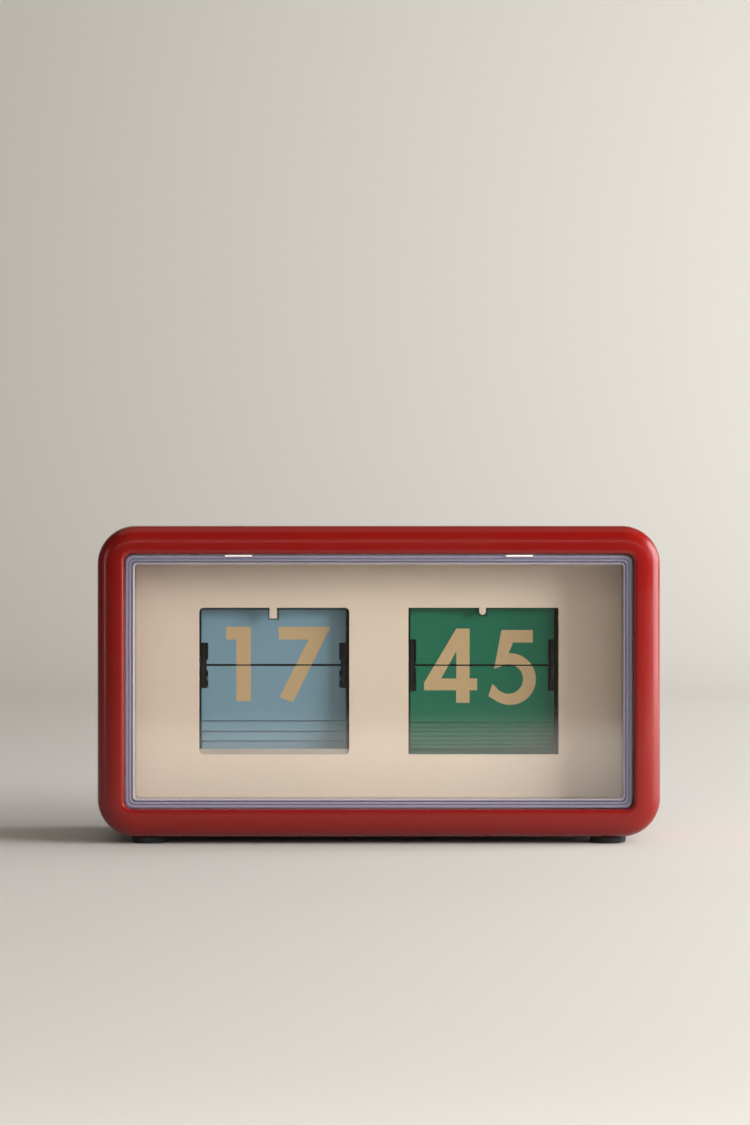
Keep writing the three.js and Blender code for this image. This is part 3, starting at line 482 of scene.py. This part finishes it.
def block(x0, x1, y0, y1, z0, z1, bevel=0.0):
    """A block as a bmesh, its edges rounded."""
    bm = bmesh.new()
    bmesh.ops.create_cube(bm, size=1)
    for v in bm.verts:
        v.co = (
            x0 if v.co.x < 0 else x1,
            y0 if v.co.y < 0 else y1,
            z0 if v.co.z < 0 else z1,
        )
    if bevel:
        bmesh.ops.bevel(bm, geom=bm.edges, offset=bevel, segments=3, profile=0.5, affect="EDGES")
    return bm


def merged(*parts):
    """Several bmeshes as one."""
    whole = bmesh.new()
    for part in parts:
        mesh = bpy.data.meshes.new("part")
        part.to_mesh(mesh)
        part.free()
        whole.from_mesh(mesh)
        bpy.data.meshes.remove(mesh)
    return whole


# Case and lens --------------------------------------------------------------------------------------------


def case_shell():
    """One closed skin: the outside, the bullnose rim, the mouth, the tunnel behind it and the inside."""
    hx, hz = CASE_HALF
    ox, oz = OPENING_HALF
    tx, tz = TUNNEL_HALF
    cx, cz = CAVITY_HALF
    wall = hx - cx
    rim = math.degrees(math.acos(1 - wall / RIM_REACH))

    def outside(angle, depth):
        inset = RIM_REACH * (1 - math.cos(math.radians(angle)))
        reach = RIM_DEPTH * math.sin(math.radians(angle))
        return hx - inset, hz - inset, CASE_CORNER - inset, depth + math.copysign(reach, depth)

    rear = [outside(rim * (1 - i / 9), REAR_Y - RIM_DEPTH) for i in range(10)]
    front = [outside(90 * i / 24, FRONT_Y + RIM_DEPTH) for i in range(25)]
    mouth = []
    for i in range(8):
        a = math.radians(90 * i / 7)
        grow = MOUTH_ROUND * (1 - math.sin(a))
        y = FRONT_Y + MOUTH_ROUND * (1 - math.cos(a))
        mouth.append((ox + grow, oz + grow, OPENING_CORNER + grow, y))
    inner_corner = CASE_CORNER - wall
    tunnel_rear = PLATE_FRONT - 0.4
    back = rear[0][3]
    sections = [
        *rear,
        (hx, hz, CASE_CORNER, REAR_Y - RIM_DEPTH - 1),
        (hx, hz, CASE_CORNER, FRONT_Y + RIM_DEPTH + 1),
        *front,
        *mouth,
        (ox, oz, OPENING_CORNER, FRONT_Y + MOUTH_ROUND + 0.5),
        (ox, oz, OPENING_CORNER, tunnel_rear),
        (tx, tz, OPENING_CORNER + tx - ox, tunnel_rear),
        (tx, tz, OPENING_CORNER + tx - ox, FRONT_Y + 5),
        (cx, cz, inner_corner, FRONT_Y + 5),
        (cx, cz, inner_corner, back - 0.5),
        (cx + 0.3, cz + 0.3, inner_corner + 0.3, back - 0.05),
    ]
    bm = bmesh.new()
    loft(bm, sections, closed=True, steps=18)
    case = finish_mesh("red_case_shell", bm, [RED], "clock", ["case_shell"])
    top = CASE_Z + oz
    half = LATCH_HALF + 0.5
    notches = [
        block(x - half, x + half, -40.9, -36.8, top - 3, top + 0.5) for x in (-LATCH_X, LATCH_X)
    ]
    return carve(case, *notches)


def lens():
    """A clear tray: a pane with a grooved rim in front, and side walls back to the face plate; the groove is
    painted shade.
    """
    ox, oz = OPENING_HALF[0] - 0.3, OPENING_HALF[1] - 0.3
    front, rear, wall, pane = -40.6, -20.9, 2.6, 2.1
    # Slots: the groove's dark colour is painted shade; the lip and the latch tips are pale as painted
    # highlights.
    clear, rim, groove, lip, tip = range(5)

    def section(inset, y, material):
        return ox - inset, oz - inset, max(1.3, 2.7 - inset * 0.45), y, material

    edge = [(0.6 - depth, front + 0.6 - out) for depth, out in arc((0, 0), 0.6, 0, 90, 5)]
    fillet = [(wall + 0.8 - a, front + pane + 0.8 - b) for a, b in arc((0, 0), 0.8, 0, 90, 5)]
    bm = bmesh.new()
    loft(bm, [
        section(3.45, front + 0.3, lip), section(3.15, front, rim), section(2.75, front, groove),
        section(2.6, front + 0.3, groove), section(2.45, front + 0.3, groove), section(2.3, front, rim),
        section(1.6, front, groove), section(1.45, front + 0.25, groove), section(1.3, front, rim),
        *[section(inset, y, rim) for inset, y in reversed(edge[1:])],
        section(0, front + 0.6, clear), section(0, rear, rim), section(wall, rear, clear),
        *[section(inset, y, clear) for inset, y in fillet],
    ], caps=clear, steps=10)
    top = CASE_Z + OPENING_HALF[1]
    hooks, tips = [], []
    for x in (-LATCH_X, LATCH_X):
        half = LATCH_HALF
        hooks.append(block(x - half, x + half, -40.4, -37.6, top - 0.6, top + 0.3, 0.1))
        half = LATCH_HALF - 0.3
        tips.append(block(x - half, x + half, -41.3, -40.2, top - 0.92, top - 0.34, 0.08))
    for blocks, material in ((hooks, rim), (tips, tip)):
        for part in blocks:
            for face in part.faces:
                face.material_index = material
    return finish_mesh(
        "clear_lens", merged(bm, *hooks, *tips), [PANE, LENS_RIM, LENS_GROOVE_SHADE, LENS_LIP_HIGHLIGHT, LATCH_HIGHLIGHT], "clock",
        ["lens"],
    )


# Face plate -----------------------------------------------------------------------------------------------


def window_outline(drum):
    """A window's edge with the retaining tab at its top, square for the hours and round for the minutes."""
    side = 1 if drum["x"] > 0 else -1
    left, right = side * WINDOW_X - WINDOW_HALF[0], side * WINDOW_X + WINDOW_HALF[0]
    bottom, top = WINDOW_Z - WINDOW_HALF[1], WINDOW_Z + WINDOW_HALF[1]
    width, length = drum["tab"]
    x, half = drum["x"], width / 2
    r = drum["window_round"]
    points = [
        *arc((left + r, bottom + r), r, 180, 270, 5),
        *arc((right - r, bottom + r), r, 270, 360, 5),
        *arc((right - r, top - r), r, 0, 90, 5),
        (x + half, top),
    ]
    if drum["name"] == "hour":
        points += [(x + half, top - length), (x - half, top - length)]
    else:
        points += arc((x, top - length + half), half, 0, -180, 10)
    points.append((x - half, top))
    return points + arc((left + r, top - r), r, 90, 180, 5)


def face_plate():
    """The plate with its two windows, and a step behind the hour window's lower edge, darker as painted
    shade.
    """
    outer = ring(*PLATE_HALF, PLATE_CORNER, 8)
    bm = sheet_mesh([outer, window_outline(HOURS), window_outline(MINUTES)], PLATE_FRONT, PLATE_REAR, 0.12)
    left, bottom = -WINDOW_X - WINDOW_HALF[0], WINDOW_Z - WINDOW_HALF[1]
    right, height = left + 2 * WINDOW_HALF[0], 2.05
    sill = block(left - 0.5, right + 0.5, -19.9, -19.1, bottom - 0.5, bottom + height, 0.15)
    # The step takes the darker cream, painted shade.
    for face in sill.faces:
        face.material_index = 1
    return finish_mesh(
        "cream_face_plate", merged(bm, sill), [CREAM, SILL_SHADE], "clock", ["face_plate"]
    )


# Leaves and digits ------------------------------------------------------------------------------------------


def hinge_y(drum):
    """The depth of the hinge line that the falling leaf turns about."""
    return SHAFT_Y - drum["pivot"]


def leaf_outline(drum, side, hinge_z, y_front, slot=False):
    """A leaf that stands (side 1) or hangs (side -1) from its hinge line, cut back beside the discs."""
    half = drum["width"] / 2
    near, far = SPLIT_GAP / 2, SPLIT_GAP / 2 + drum["length"]
    depth = y_front + LEAF_THICK - SHAFT_Y
    chord = math.sqrt(max(0, drum["disc"] ** 2 - depth ** 2))
    notch = max(drum["notch"][1], chord + 0.35 - side * (hinge_z - SPLIT_Z))
    inner = half - drum["notch"][0]
    ear = half - 0.1 - drum["disc_thick"] - 0.3
    right = [
        (ear, near), (ear, drum["ear"]), (inner, drum["ear"] + 0.3), (inner, notch),
        (half, notch), (half, far - 0.4), (half - 0.4, far),
    ]
    if slot:
        slot_half = drum["tab"][0] / 2 + 0.45
        slot_end = WINDOW_Z + WINDOW_HALF[1] - drum["tab"][1] - hinge_z - 0.45
        right += [(slot_half, far), (slot_half, slot_end)]
    whole = right + [(-x, z) for x, z in reversed(right)]
    return [(drum["x"] + x, hinge_z + side * z) for x, z in whole]


def leaves(drum, material, edge):
    """The leaves that the window shows: the falling one, the next behind it, and those that hang below."""
    name, slot = drum["name"], drum["slot"]

    def leaf(label, side, hinge_z, y_front, body, slotted=False):
        outline = leaf_outline(drum, side, hinge_z, y_front, slotted)
        bm = sheet_mesh([outline], y_front, y_front + LEAF_THICK, LEAF_EDGE)
        bm.normal_update()
        # Side and bevel faces take the dark edge colour, painted shade for the lines between the leaves.
        for face in bm.faces:
            face.material_index = int(abs(face.normal.y) < 0.98)
        finish_mesh(f"{name}_card_{label}", bm, [material, edge], body, [f"{name}_leaf_{label}"])

    y = hinge_y(drum)
    leaf("falling", 1, SPLIT_Z, y, f"{name}_leaf", True)
    leaf("next", 1, SPLIT_Z, y + LEAF_THICK + 0.4, "clock")
    for i in range(drum["hanging"]):
        hinge_z = SPLIT_Z - drum["pivot"] * math.sin(2 * math.pi * i / drum["leaves"])
        leaf(f"hanging_{i + 1}", -1, hinge_z, y + 0.3 + LEAF_PITCH * i, "clock")


def glyph(name):
    """The outlines of a digit in millimetres. x runs from the digit's own left, z is the height shown."""
    if name == "1":
        return [[(3.74, 50.96), (9.15, 50.96), (9.15, 78.63), (0, 78.63), (0, 73.89), (3.74, 73.89)]]
    if name == "7":
        return [[(0, 78.63), (19.35, 78.63), (5.31, 50.58), (0.34, 52.41), (11.09, 73.89), (0, 73.89)]]
    if name == "4":
        return [
            [
                (11.97, 78.0), (0, 57.9), (0, 55.1), (11.9, 55.1), (11.9, 50.44), (16.87, 50.44),
                (16.87, 55.1), (19.66, 55.1), (19.66, 59.47), (16.87, 59.47), (16.87, 78.0),
            ],
            [(11.97, 69.65), (6.34, 59.47), (11.97, 59.47)],
        ]
    if name == "5":
        middle = (8.02, 59.24)
        return [[
            (4.85, 77.44), (16.45, 77.44), (16.45, 72.82), (9.1, 72.82),
            *arc(middle, 9.6, 93, -128, 26), (0, 52.94), (1.46, 57.45),
            *arc((7.4, 59.25), 5.48, -148, 122, 22), (2.13, 63.08),
        ]]
    if name == "6":
        middle, outer, inner = Vector((9.4, 59.6)), 9.4, 4.7
        tip = Vector((9.6, 78.63))
        away = tip - middle
        touch = math.degrees(math.atan2(away.y, away.x) + math.acos(outer / away.length))
        slope = (tip - Vector(arc(middle, outer, touch, touch, 1)[0])).normalized()
        shoulder = arc(middle, outer, 70, 70, 1)[0]
        run = (tip.y - shoulder[1]) / slope.y
        return [
            [tuple(tip), *arc(middle, outer, touch, 70 + 360, 34), shoulder,
             (shoulder[0] + slope.x * run, tip.y)],
            arc(middle, inner, 0, 345, 23),
        ]
    upper, lower, small, large = (9.0, 71.6), (9.0, 59.3), 7.1, 8.7
    gap = upper[1] - lower[1]
    down = (small ** 2 - large ** 2 + gap ** 2) / (2 * gap)
    across = math.sqrt(small ** 2 - down ** 2)
    waist_up = math.degrees(math.atan2(-down, across))
    waist_low = math.degrees(math.atan2(gap - down, across))
    return [
        arc(upper, small, waist_up, 180 - waist_up, 24)
        + arc(lower, large, 180 - waist_low, 360 + waist_low, 28)[1:-1],
        arc(upper, 2.9, 0, 345, 23),
        arc(lower, 4.1, 0, 345, 23),
    ]


HOUR_DIGITS = {"now": [("1", -56.68), ("7", -37.22)], "then": [("1", -56.68), ("8", -37.0)]}
MINUTE_DIGITS = {"now": [("4", 16.83), ("5", 40.7)], "then": [("4", 16.83), ("6", 40.4)]}


def digits(label, drum, glyphs, upper, y, body, flip=False):
    """The printed digits' upper or lower half, as a film of ink in front of depth y. With flip, it is on the
    back of the falling leaf, upside down until that leaf has fallen."""
    parts = []
    for name, left in glyphs:
        outlines = [[(left + x, z) for x, z in line] for line in glyph(name)]
        parts.append(sheet_mesh(outlines, y - INK, y))
    bm = merged(*parts)
    edge = SPLIT_Z + (SPLIT_GAP / 2 if upper else -SPLIT_GAP / 2)
    cut = bmesh.ops.bisect_plane(
        bm, geom=bm.verts[:] + bm.edges[:] + bm.faces[:], plane_co=(0, 0, edge), plane_no=(0, 0, 1),
        clear_inner=upper, clear_outer=not upper,
    )
    bmesh.ops.holes_fill(bm, edges=[e for e in cut["geom_cut"] if isinstance(e, bmesh.types.BMEdge)])
    if flip:
        for v in bm.verts:
            v.co.z = 2 * SPLIT_Z - v.co.z
            v.co.y = 2 * hinge_y(drum) - v.co.y
    finish_mesh(f"{drum['name']}_digits_{label}", bm, [INK_LOOK], body, weighted=False)


def printed(drum, text):
    """The number that shows, and the next one on the leaf behind and on the falling leaf's back."""
    y = hinge_y(drum)
    body = f"{drum['name']}_leaf"
    digits("upper", drum, text["now"], True, y, body)
    digits("lower", drum, text["now"], False, y + 0.3, "clock")
    digits("next_upper", drum, text["then"], True, y + LEAF_THICK + 0.4, "clock")
    digits("next_lower", drum, text["then"], False, y - LEAF_THICK, body, flip=True)


# Hidden leaves, drums and what is behind ------------------------------------------------------------------


def stack(drum, material):
    """The leaves over the top of the drum, behind it and below it, as one card each."""
    half, length = drum["width"] / 2, drum["length"] - 0.3
    inner, notch = half - drum["notch"][0], drum["notch"][1]
    right = [(inner, 0.3), (inner, notch), (half, notch), (half, length - 0.4), (half - 0.4, length)]
    outline = right + [(-x, z) for x, z in reversed(right)]
    radius = drum["pivot"] - 0.6
    parts = []
    for k in range(2, drum["leaves"] - drum["hanging"] - 1):
        turn = 360 / drum["leaves"] * k
        smooth = min(1, max(0, (turn - 35) / 170))
        lean = Matrix.Rotation(-math.pi * smooth * smooth * (3 - 2 * smooth), 4, "X")
        a = math.radians(turn)
        hinge = Vector((drum["x"], SHAFT_Y - radius * math.cos(a), SPLIT_Z + radius * math.sin(a)))
        card = sheet_mesh([outline], -0.15, 0.15)
        for v in card.verts:
            v.co = lean @ v.co + hinge
        parts.append(card)
    finish_mesh(
        f"{drum['name']}_cards_stack", merged(*parts), [material], "clock",
        [f"{drum['name']}_leaf_stack"], weighted=False,
    )


def circle(centre, radius, steps=24):
    return arc(centre, radius, 0, 360 - 360 / steps, steps - 1)


def drum_mesh(drum):
    """Two discs with a hole for each leaf's pins, on a hollow core with hubs at its ends."""
    hub_left, hub_right = drum["hubs"]
    left, right = (drum["x"] + side * (drum["width"] / 2 - 0.1) for side in (-1, 1))
    middle, thick = (SHAFT_Y, SPLIT_Z), drum["disc_thick"]
    pins = [
        circle(arc(middle, drum["pivot"], 360 * i / drum["leaves"], 0, 1)[0], 0.5, 8)
        for i in range(drum["leaves"])
    ]
    windows = [circle(arc(middle, 11.8, 60 * i, 0, 1)[0], 1.9, 20) for i in range(6)]
    outlines = [circle(middle, drum["disc"], 120), circle(middle, 8, 48), *pins, *windows]
    discs = [
        sheet_mesh(outlines, x, x + thick, 0.15, sideways=True) for x in (left, right - thick)
    ]
    bore, hub, core = 1.9, 2.6, 9
    body = turned([
        (bore, hub_left), (hub - 0.3, hub_left), (hub, hub_left + 0.3), (hub, left), (core, left),
        (core, right), (hub, right), (hub, hub_right - 0.3), (hub - 0.3, hub_right),
        (bore, hub_right), (bore, hub_left),
    ], "x", (0, SHAFT_Y, SPLIT_Z))
    name = drum["name"]
    finish_mesh(
        f"{name}_spool", merged(body, *discs), [BLACK], f"{name}_display", [f"{name}_drum"]
    )


def setting_wheel():
    """A thumbwheel with scalloped edge, dished on both sides, on its axle."""
    (x0, x1), y, z = WHEEL_X, WHEEL_Y, WHEEL_Z
    scallops, steps, deep = 36, 8, 0.35
    rim = []
    for i in range(scallops * steps):
        phase = 2 * math.pi * i / steps
        r = WHEEL_RADIUS - deep * (1 - math.cos(phase)) ** 1.5 / 2 ** 0.5
        a = 2 * math.pi * i / (scallops * steps)
        rim.append((y + r * math.cos(a), z + r * math.sin(a)))
    ring_part = sheet_mesh([rim, circle((y, z), 14, 64)], x0, x1, 0.4, sideways=True)
    web = turned([
        (0, 66.4), (1.5, 66.4), (1.5, 69.5), (2.4, 69.5), (2.4, x0), (5, x0), (5, x0 + 1.8),
        (14.1, x0 + 1.8),
        (14.1, x1 - 1.8), (5, x1 - 1.8), (4.7, x1 - 0.2), (4.4, x1), (0, x1),
    ], "x", (0, y, z), 64)
    wheel = merged(ring_part, web)
    finish_mesh("thumbwheel", wheel, [BLACK], "setting_wheel", ["set_wheel"])


def cross_screw(name, node, x, z, head, shank, rear, neck, tip):
    """A pan-head screw along the depth, its head at the back with a cross slot."""
    crown = arc((head - 0.5, rear - 0.5), 0.5, 90, 0, 5)
    profile = [
        (0, tip), (shank * 0.4, tip), (shank, tip + 1), (shank, neck), (head, neck), *reversed(crown),
        (0, rear),
    ]
    obj = finish_mesh(name, turned(profile, "y", (x, 0, z), 40), [STEEL], "clock", [node])
    arm, width, deep = head * 0.62, head * 0.11, 0.6
    return carve(
        obj,
        block(x - arm, x + arm, rear - deep, rear + 1, z - width, z + width),
        block(x - width, x + width, rear - deep, rear + 1, z - arm, z + arm),
    )


def oblong(x0, x1, z0, z1, radius, steps=6):
    """A rectangle with rounded corners."""
    return [
        *arc((x1 - radius, z0 + radius), radius, 270, 360, steps),
        *arc((x1 - radius, z1 - radius), radius, 0, 90, steps),
        *arc((x0 + radius, z1 - radius), radius, 90, 180, steps),
        *arc((x0 + radius, z0 + radius), radius, 180, 270, steps),
    ]


def rear_cover():
    """The back: a plate with a stepped edge, counterbored screw holes, a door opening and a wheel slot."""
    front, rear = COVER_FRONT, COVER_REAR
    door = oblong(DOOR_X[0] - 0.5, DOOR_X[1] + 0.5, DOOR_Z[0] - 2.1, DOOR_Z[1] + 0.5, 0.4, 3)
    slot = oblong(WHEEL_X[0] - 0.6, WHEEL_X[1] + 0.6, WHEEL_Z - 14.4, WHEEL_Z + 14.4, 0.6, 3)
    bores = [circle(place, 3.1, 32) for place in COVER_SCREWS]
    plate = sheet_mesh([ring(99.1, 53.25, 10.6, 14), door, slot, *bores], front, rear, 0.35)
    seats = [
        sheet_mesh([circle(place, 3.3, 32), circle(place, 1.5, 20)], front, front + 0.8)
        for place in COVER_SCREWS
    ]
    lip = sheet_mesh([ring(97.6, 51.75, 9.1, 10), ring(96.1, 50.25, 7.6, 10)], front - 3, front + 0.2)
    for x, z in COVER_SCREWS:
        away = (math.copysign(1, x), math.copysign(1, z - CASE_Z))
        bmesh.ops.delete(
            lip, context="VERTS",
            geom=[v for v in lip.verts if (v.co.x - x + 6 * away[0]) * away[0] > 0
                  and (v.co.z - z + 6 * away[1]) * away[1] > 0],
        )
    bmesh.ops.holes_fill(lip, edges=[e for e in lip.edges if e.is_boundary])
    frame_line = sheet_mesh([ring(94, 48, 6, 8), ring(93.2, 47.2, 5.2, 8)], rear - 0.1, rear + 0.25, 0.1)
    bmesh.ops.delete(
        frame_line, context="VERTS",
        geom=[v for v in frame_line.verts if abs(v.co.x) > 86 and abs(v.co.z - CASE_Z) > 40],
    )
    bmesh.ops.holes_fill(frame_line, edges=[e for e in frame_line.edges if e.is_boundary])
    arrows = []
    for side, mid in ((1, 76), (-1, 61)):
        outline = [(66, mid - side * 3), (70, mid - side * 3), (68, mid + side * 2)]
        arrows.append(sheet_mesh([outline], rear - 0.1, rear + 0.3, 0.1))
    grip = [
        sheet_mesh([oblong(x, x + 1.1, 38, 80, 0.5, 4)], rear - 0.1, rear + 0.3, 0.1)
        for x in (-40 + 3.2 * i for i in range(26))
    ]
    lugs = [
        block(x - 1.6, x + 1.6, 35, front + 0.1, DOOR_Z[0] - 2.2, DOOR_Z[0] + 2.2, 0.3)
        for x in (DOOR_X[0] - 2.2, DOOR_X[1] + 2.2)
    ]
    finish_mesh(
        "rear_panel", merged(plate, *seats, lip, *arrows, *grip, *lugs, frame_line), [RED_MATTE], "clock",
        ["rear_cover"],
    )
    for i, (x, z) in enumerate(COVER_SCREWS):
        name = f"rear_cover_screw_{i + 1}"
        cross_screw("back_" + name, name, x, z, 2.8, 1.1, COVER_REAR - 0.1, 37.3, 24)


def battery_door():
    """The door with its hinge roll, the tongue that holds it shut, grip ribs and a fingernail dent."""
    left, right = DOOR_X
    low, high = DOOR_Z
    panel = sheet_mesh([oblong(left, right, low, high, 0.5, 3)], COVER_REAR - 2, COVER_REAR, 0.3)
    roll = turned([
        (0, left), (1.3, left), (1.6, left + 0.3), (1.6, right - 0.3), (1.3, right), (0, right),
    ], "x", (0, 37, low), 32)
    tongue = block(-87, -81, 35.4, 37.2, high - 1.4, high, 0.2)
    ribs = [
        sheet_mesh([oblong(left + 4, right - 4, z, z + 0.9, 0.4, 3)], 38.5, 38.9, 0.1)
        for z in (high - 13 - 2.4 * i for i in range(5))
    ]
    door = finish_mesh(
        "battery_hatch", merged(panel, roll, tongue, *ribs), [RED_MATTE], "battery_door",
        ["battery_door"],
    )
    middle = (left + right) / 2
    dent = turned(rounded_profile(4.5, 37.8, 40, 0.7), "y", (middle, 0, high - 5), 40)
    for v in dent.verts:
        v.co.z = high - 5 + (v.co.z - high + 5) * 0.6
    carve(door, dent)


def feet():
    """Rubber pads, each with a stem that plugs into the case."""
    for side, x in (("left", -FOOT_X), ("right", FOOT_X)):
        for end, y in (("front", -FOOT_Y), ("rear", FOOT_Y)):
            profile = [
                (0, 0.25), (3.6, 0.25), (4, 0), *arc((5.9, 0.7), 0.7, 270, 360, 5), (6.6, 2.3), (1.5, 2.3),
                (1.5, 3.8), (1.3, 4), (0, 4),
            ]
            finish_mesh(
                f"foot_pad_{end}_{side}", turned(profile, "z", (x, y, 0)), [RUBBER], "clock",
                [f"foot_{end}_{side}"],
            )


def cell():
    """The cell with its raised contact on top."""
    profile = [
        (0, 0), *arc((6.5, 0.6), 0.6, 270, 360, 5), (7.1, 48.2), *arc((6.3, 48.2), 0.8, 0, 90, 5),
        (2.9, 49), *arc((2.4, 49.9), 0.3, 0, 90, 4), (0, 50.2),
    ]
    finish_mesh(
        "dry_cell", turned(profile, "z", CELL_PLACE), [CELL], "clock", ["battery_cell"]
    )


# Build ------------------------------------------------------------------------------------------------------

case_shell()
lens()
face_plate()
leaves(HOURS, BLUE, BLUE_EDGE_SHADE)
leaves(MINUTES, GREEN, GREEN_EDGE_SHADE)
printed(HOURS, HOUR_DIGITS)
printed(MINUTES, MINUTE_DIGITS)
stack(HOURS, BLUE)
stack(MINUTES, GREEN)
drum_mesh(HOURS)
drum_mesh(MINUTES)
setting_wheel()
rear_cover()
battery_door()
feet()
cell()

LOOKS = {
    "case_plastic": RED, "cover_plastic": RED_MATTE, "clear_lens": PANE, "cream_plate": CREAM,
    "foot_rubber": RUBBER, "blue_leaf": BLUE, "green_leaf": GREEN, "black_plastic": BLACK,
    "white_gear": WHITE, "steel": STEEL, "chassis_steel": PAINTED, "contact_brass": BRASS,
    "cell_wrap": CELL, "lead_red": LEAD_RED, "lead_black": LEAD_BLACK,
}
for part in frame["record"]["subparts"]:
    node = frame["nodes"][part["node"]]
    node.data.materials.clear()
    node.data.materials.append(LOOKS[part["material_slot"]])

# Stage -----------------------------------------------------------------------------------------------------


def backdrop():
    """A pale floor that sweeps up into a wall behind."""
    bm = bmesh.new()
    near, far, sweep, top, half = -0.86, 1.2, 0.9, 4.0, 4.0
    profile = [(near, 0.0)]
    for i in range(25):
        a = math.pi / 2 * i / 24
        profile.append((far + sweep * math.sin(a), sweep * (1 - math.cos(a))))
    profile.append((far + sweep, top))
    rows = [[bm.verts.new((x, y, z)) for x in (-half, half)] for y, z in profile]
    for a, b in zip(rows, rows[1:]):
        bm.faces.new((a[0], a[1], b[1], b[0]))
    mesh = bpy.data.meshes.new("backdrop")
    bm.to_mesh(mesh)
    bm.free()
    mesh.shade_smooth()
    obj = bpy.data.objects.new("backdrop", mesh)
    bpy.context.scene.collection.objects.link(obj)
    look = Look("backdrop_paper", srgb(186, 184, 180), 0.8)
    look.tint(look.ramp(look.noise(600, 3), 0.35, 0.7, 0, 0.25), srgb(179, 177, 173))
    mesh.materials.append(look.bump(look.noise(1500, 3), 0.0001, 0.2).mat)


def area_light(name, place, target, size, radiance, color=(1, 1, 1), shows="both"):
    """A rectangular light, width and height in metres. It can show in highlights only, in soft light only,
    or in both."""
    data = bpy.data.lights.new(name, "AREA")
    data.shape = "RECTANGLE"
    data.size, data.size_y = size
    data.energy = radiance * math.pi * size[0] * size[1]
    data.color = color
    light = bpy.data.objects.new(name, data)
    light.location = place
    light.rotation_mode = "QUATERNION"
    light.rotation_quaternion = (Vector(target) - Vector(place)).to_track_quat("-Z", "Y")
    light.visible_camera = False
    light.visible_glossy = shows != "soft"
    light.visible_diffuse = shows != "highlight"
    bpy.context.scene.collection.objects.link(light)


backdrop()
DAY = (1, 0.995, 0.985)
ROOM = (1, 0.93, 0.82)
MIDDLE = (0, 0, 0.06)
area_light("window", (1.05, 0.03, 0.5), MIDDLE, (0.7, 0.55), 6, DAY)
area_light("window_glow", (1.05, 0.03, 0.5), MIDDLE, (0.7, 0.55), 10, DAY, "highlight")
area_light("window_sill", (1.05, 0.03, 0.12), MIDDLE, (0.7, 0.22), 5, DAY)
area_light("key", (1.05, -0.58, 0.37), MIDDLE, (0.68, 0.47), 27, DAY, "soft")
area_light("upper", (0.9, 0.0, 0.95), MIDDLE, (0.6, 0.6), 4, DAY, "soft")
area_light("fill", (0.2, -1.5, 0.9), MIDDLE, (1.6, 1.2), 1.15, ROOM, "soft")
area_light("ceiling", (0, 0.15, 1.4), MIDDLE, (1.8, 1.0), 0.35, ROOM)
area_light("strip_front", (0.1, -1.0, 0.68), MIDDLE, (2.2, 0.03), 4)
area_light("strip_left", (-1.2, -0.42, 0.25), MIDDLE, (0.09, 0.8), 3.5)
area_light("table_bounce", (0.1, -0.68, 0.06), (0.05, -0.05, 0.06), (0.9, 0.12), 2.0, ROOM, "soft")
area_light("wall_wash", (1.3, 0.7, 0.4), (0.5, 1.9, 0.1), (0.6, 0.5), 28, DAY)
area_light("rear_wash", (0.6, 1.5, 1.0), (0.5, 1.8, 0), (2.4, 0.4), 1.7, ROOM)
world = bpy.data.worlds.new("room")
bpy.context.scene.world = world
world.use_nodes = True
world.node_tree.nodes["Background"].inputs["Color"].default_value = (*ROOM, 1)
world.node_tree.nodes["Background"].inputs["Strength"].default_value = 0.08
bpy.context.scene.view_settings.view_transform = "Standard"
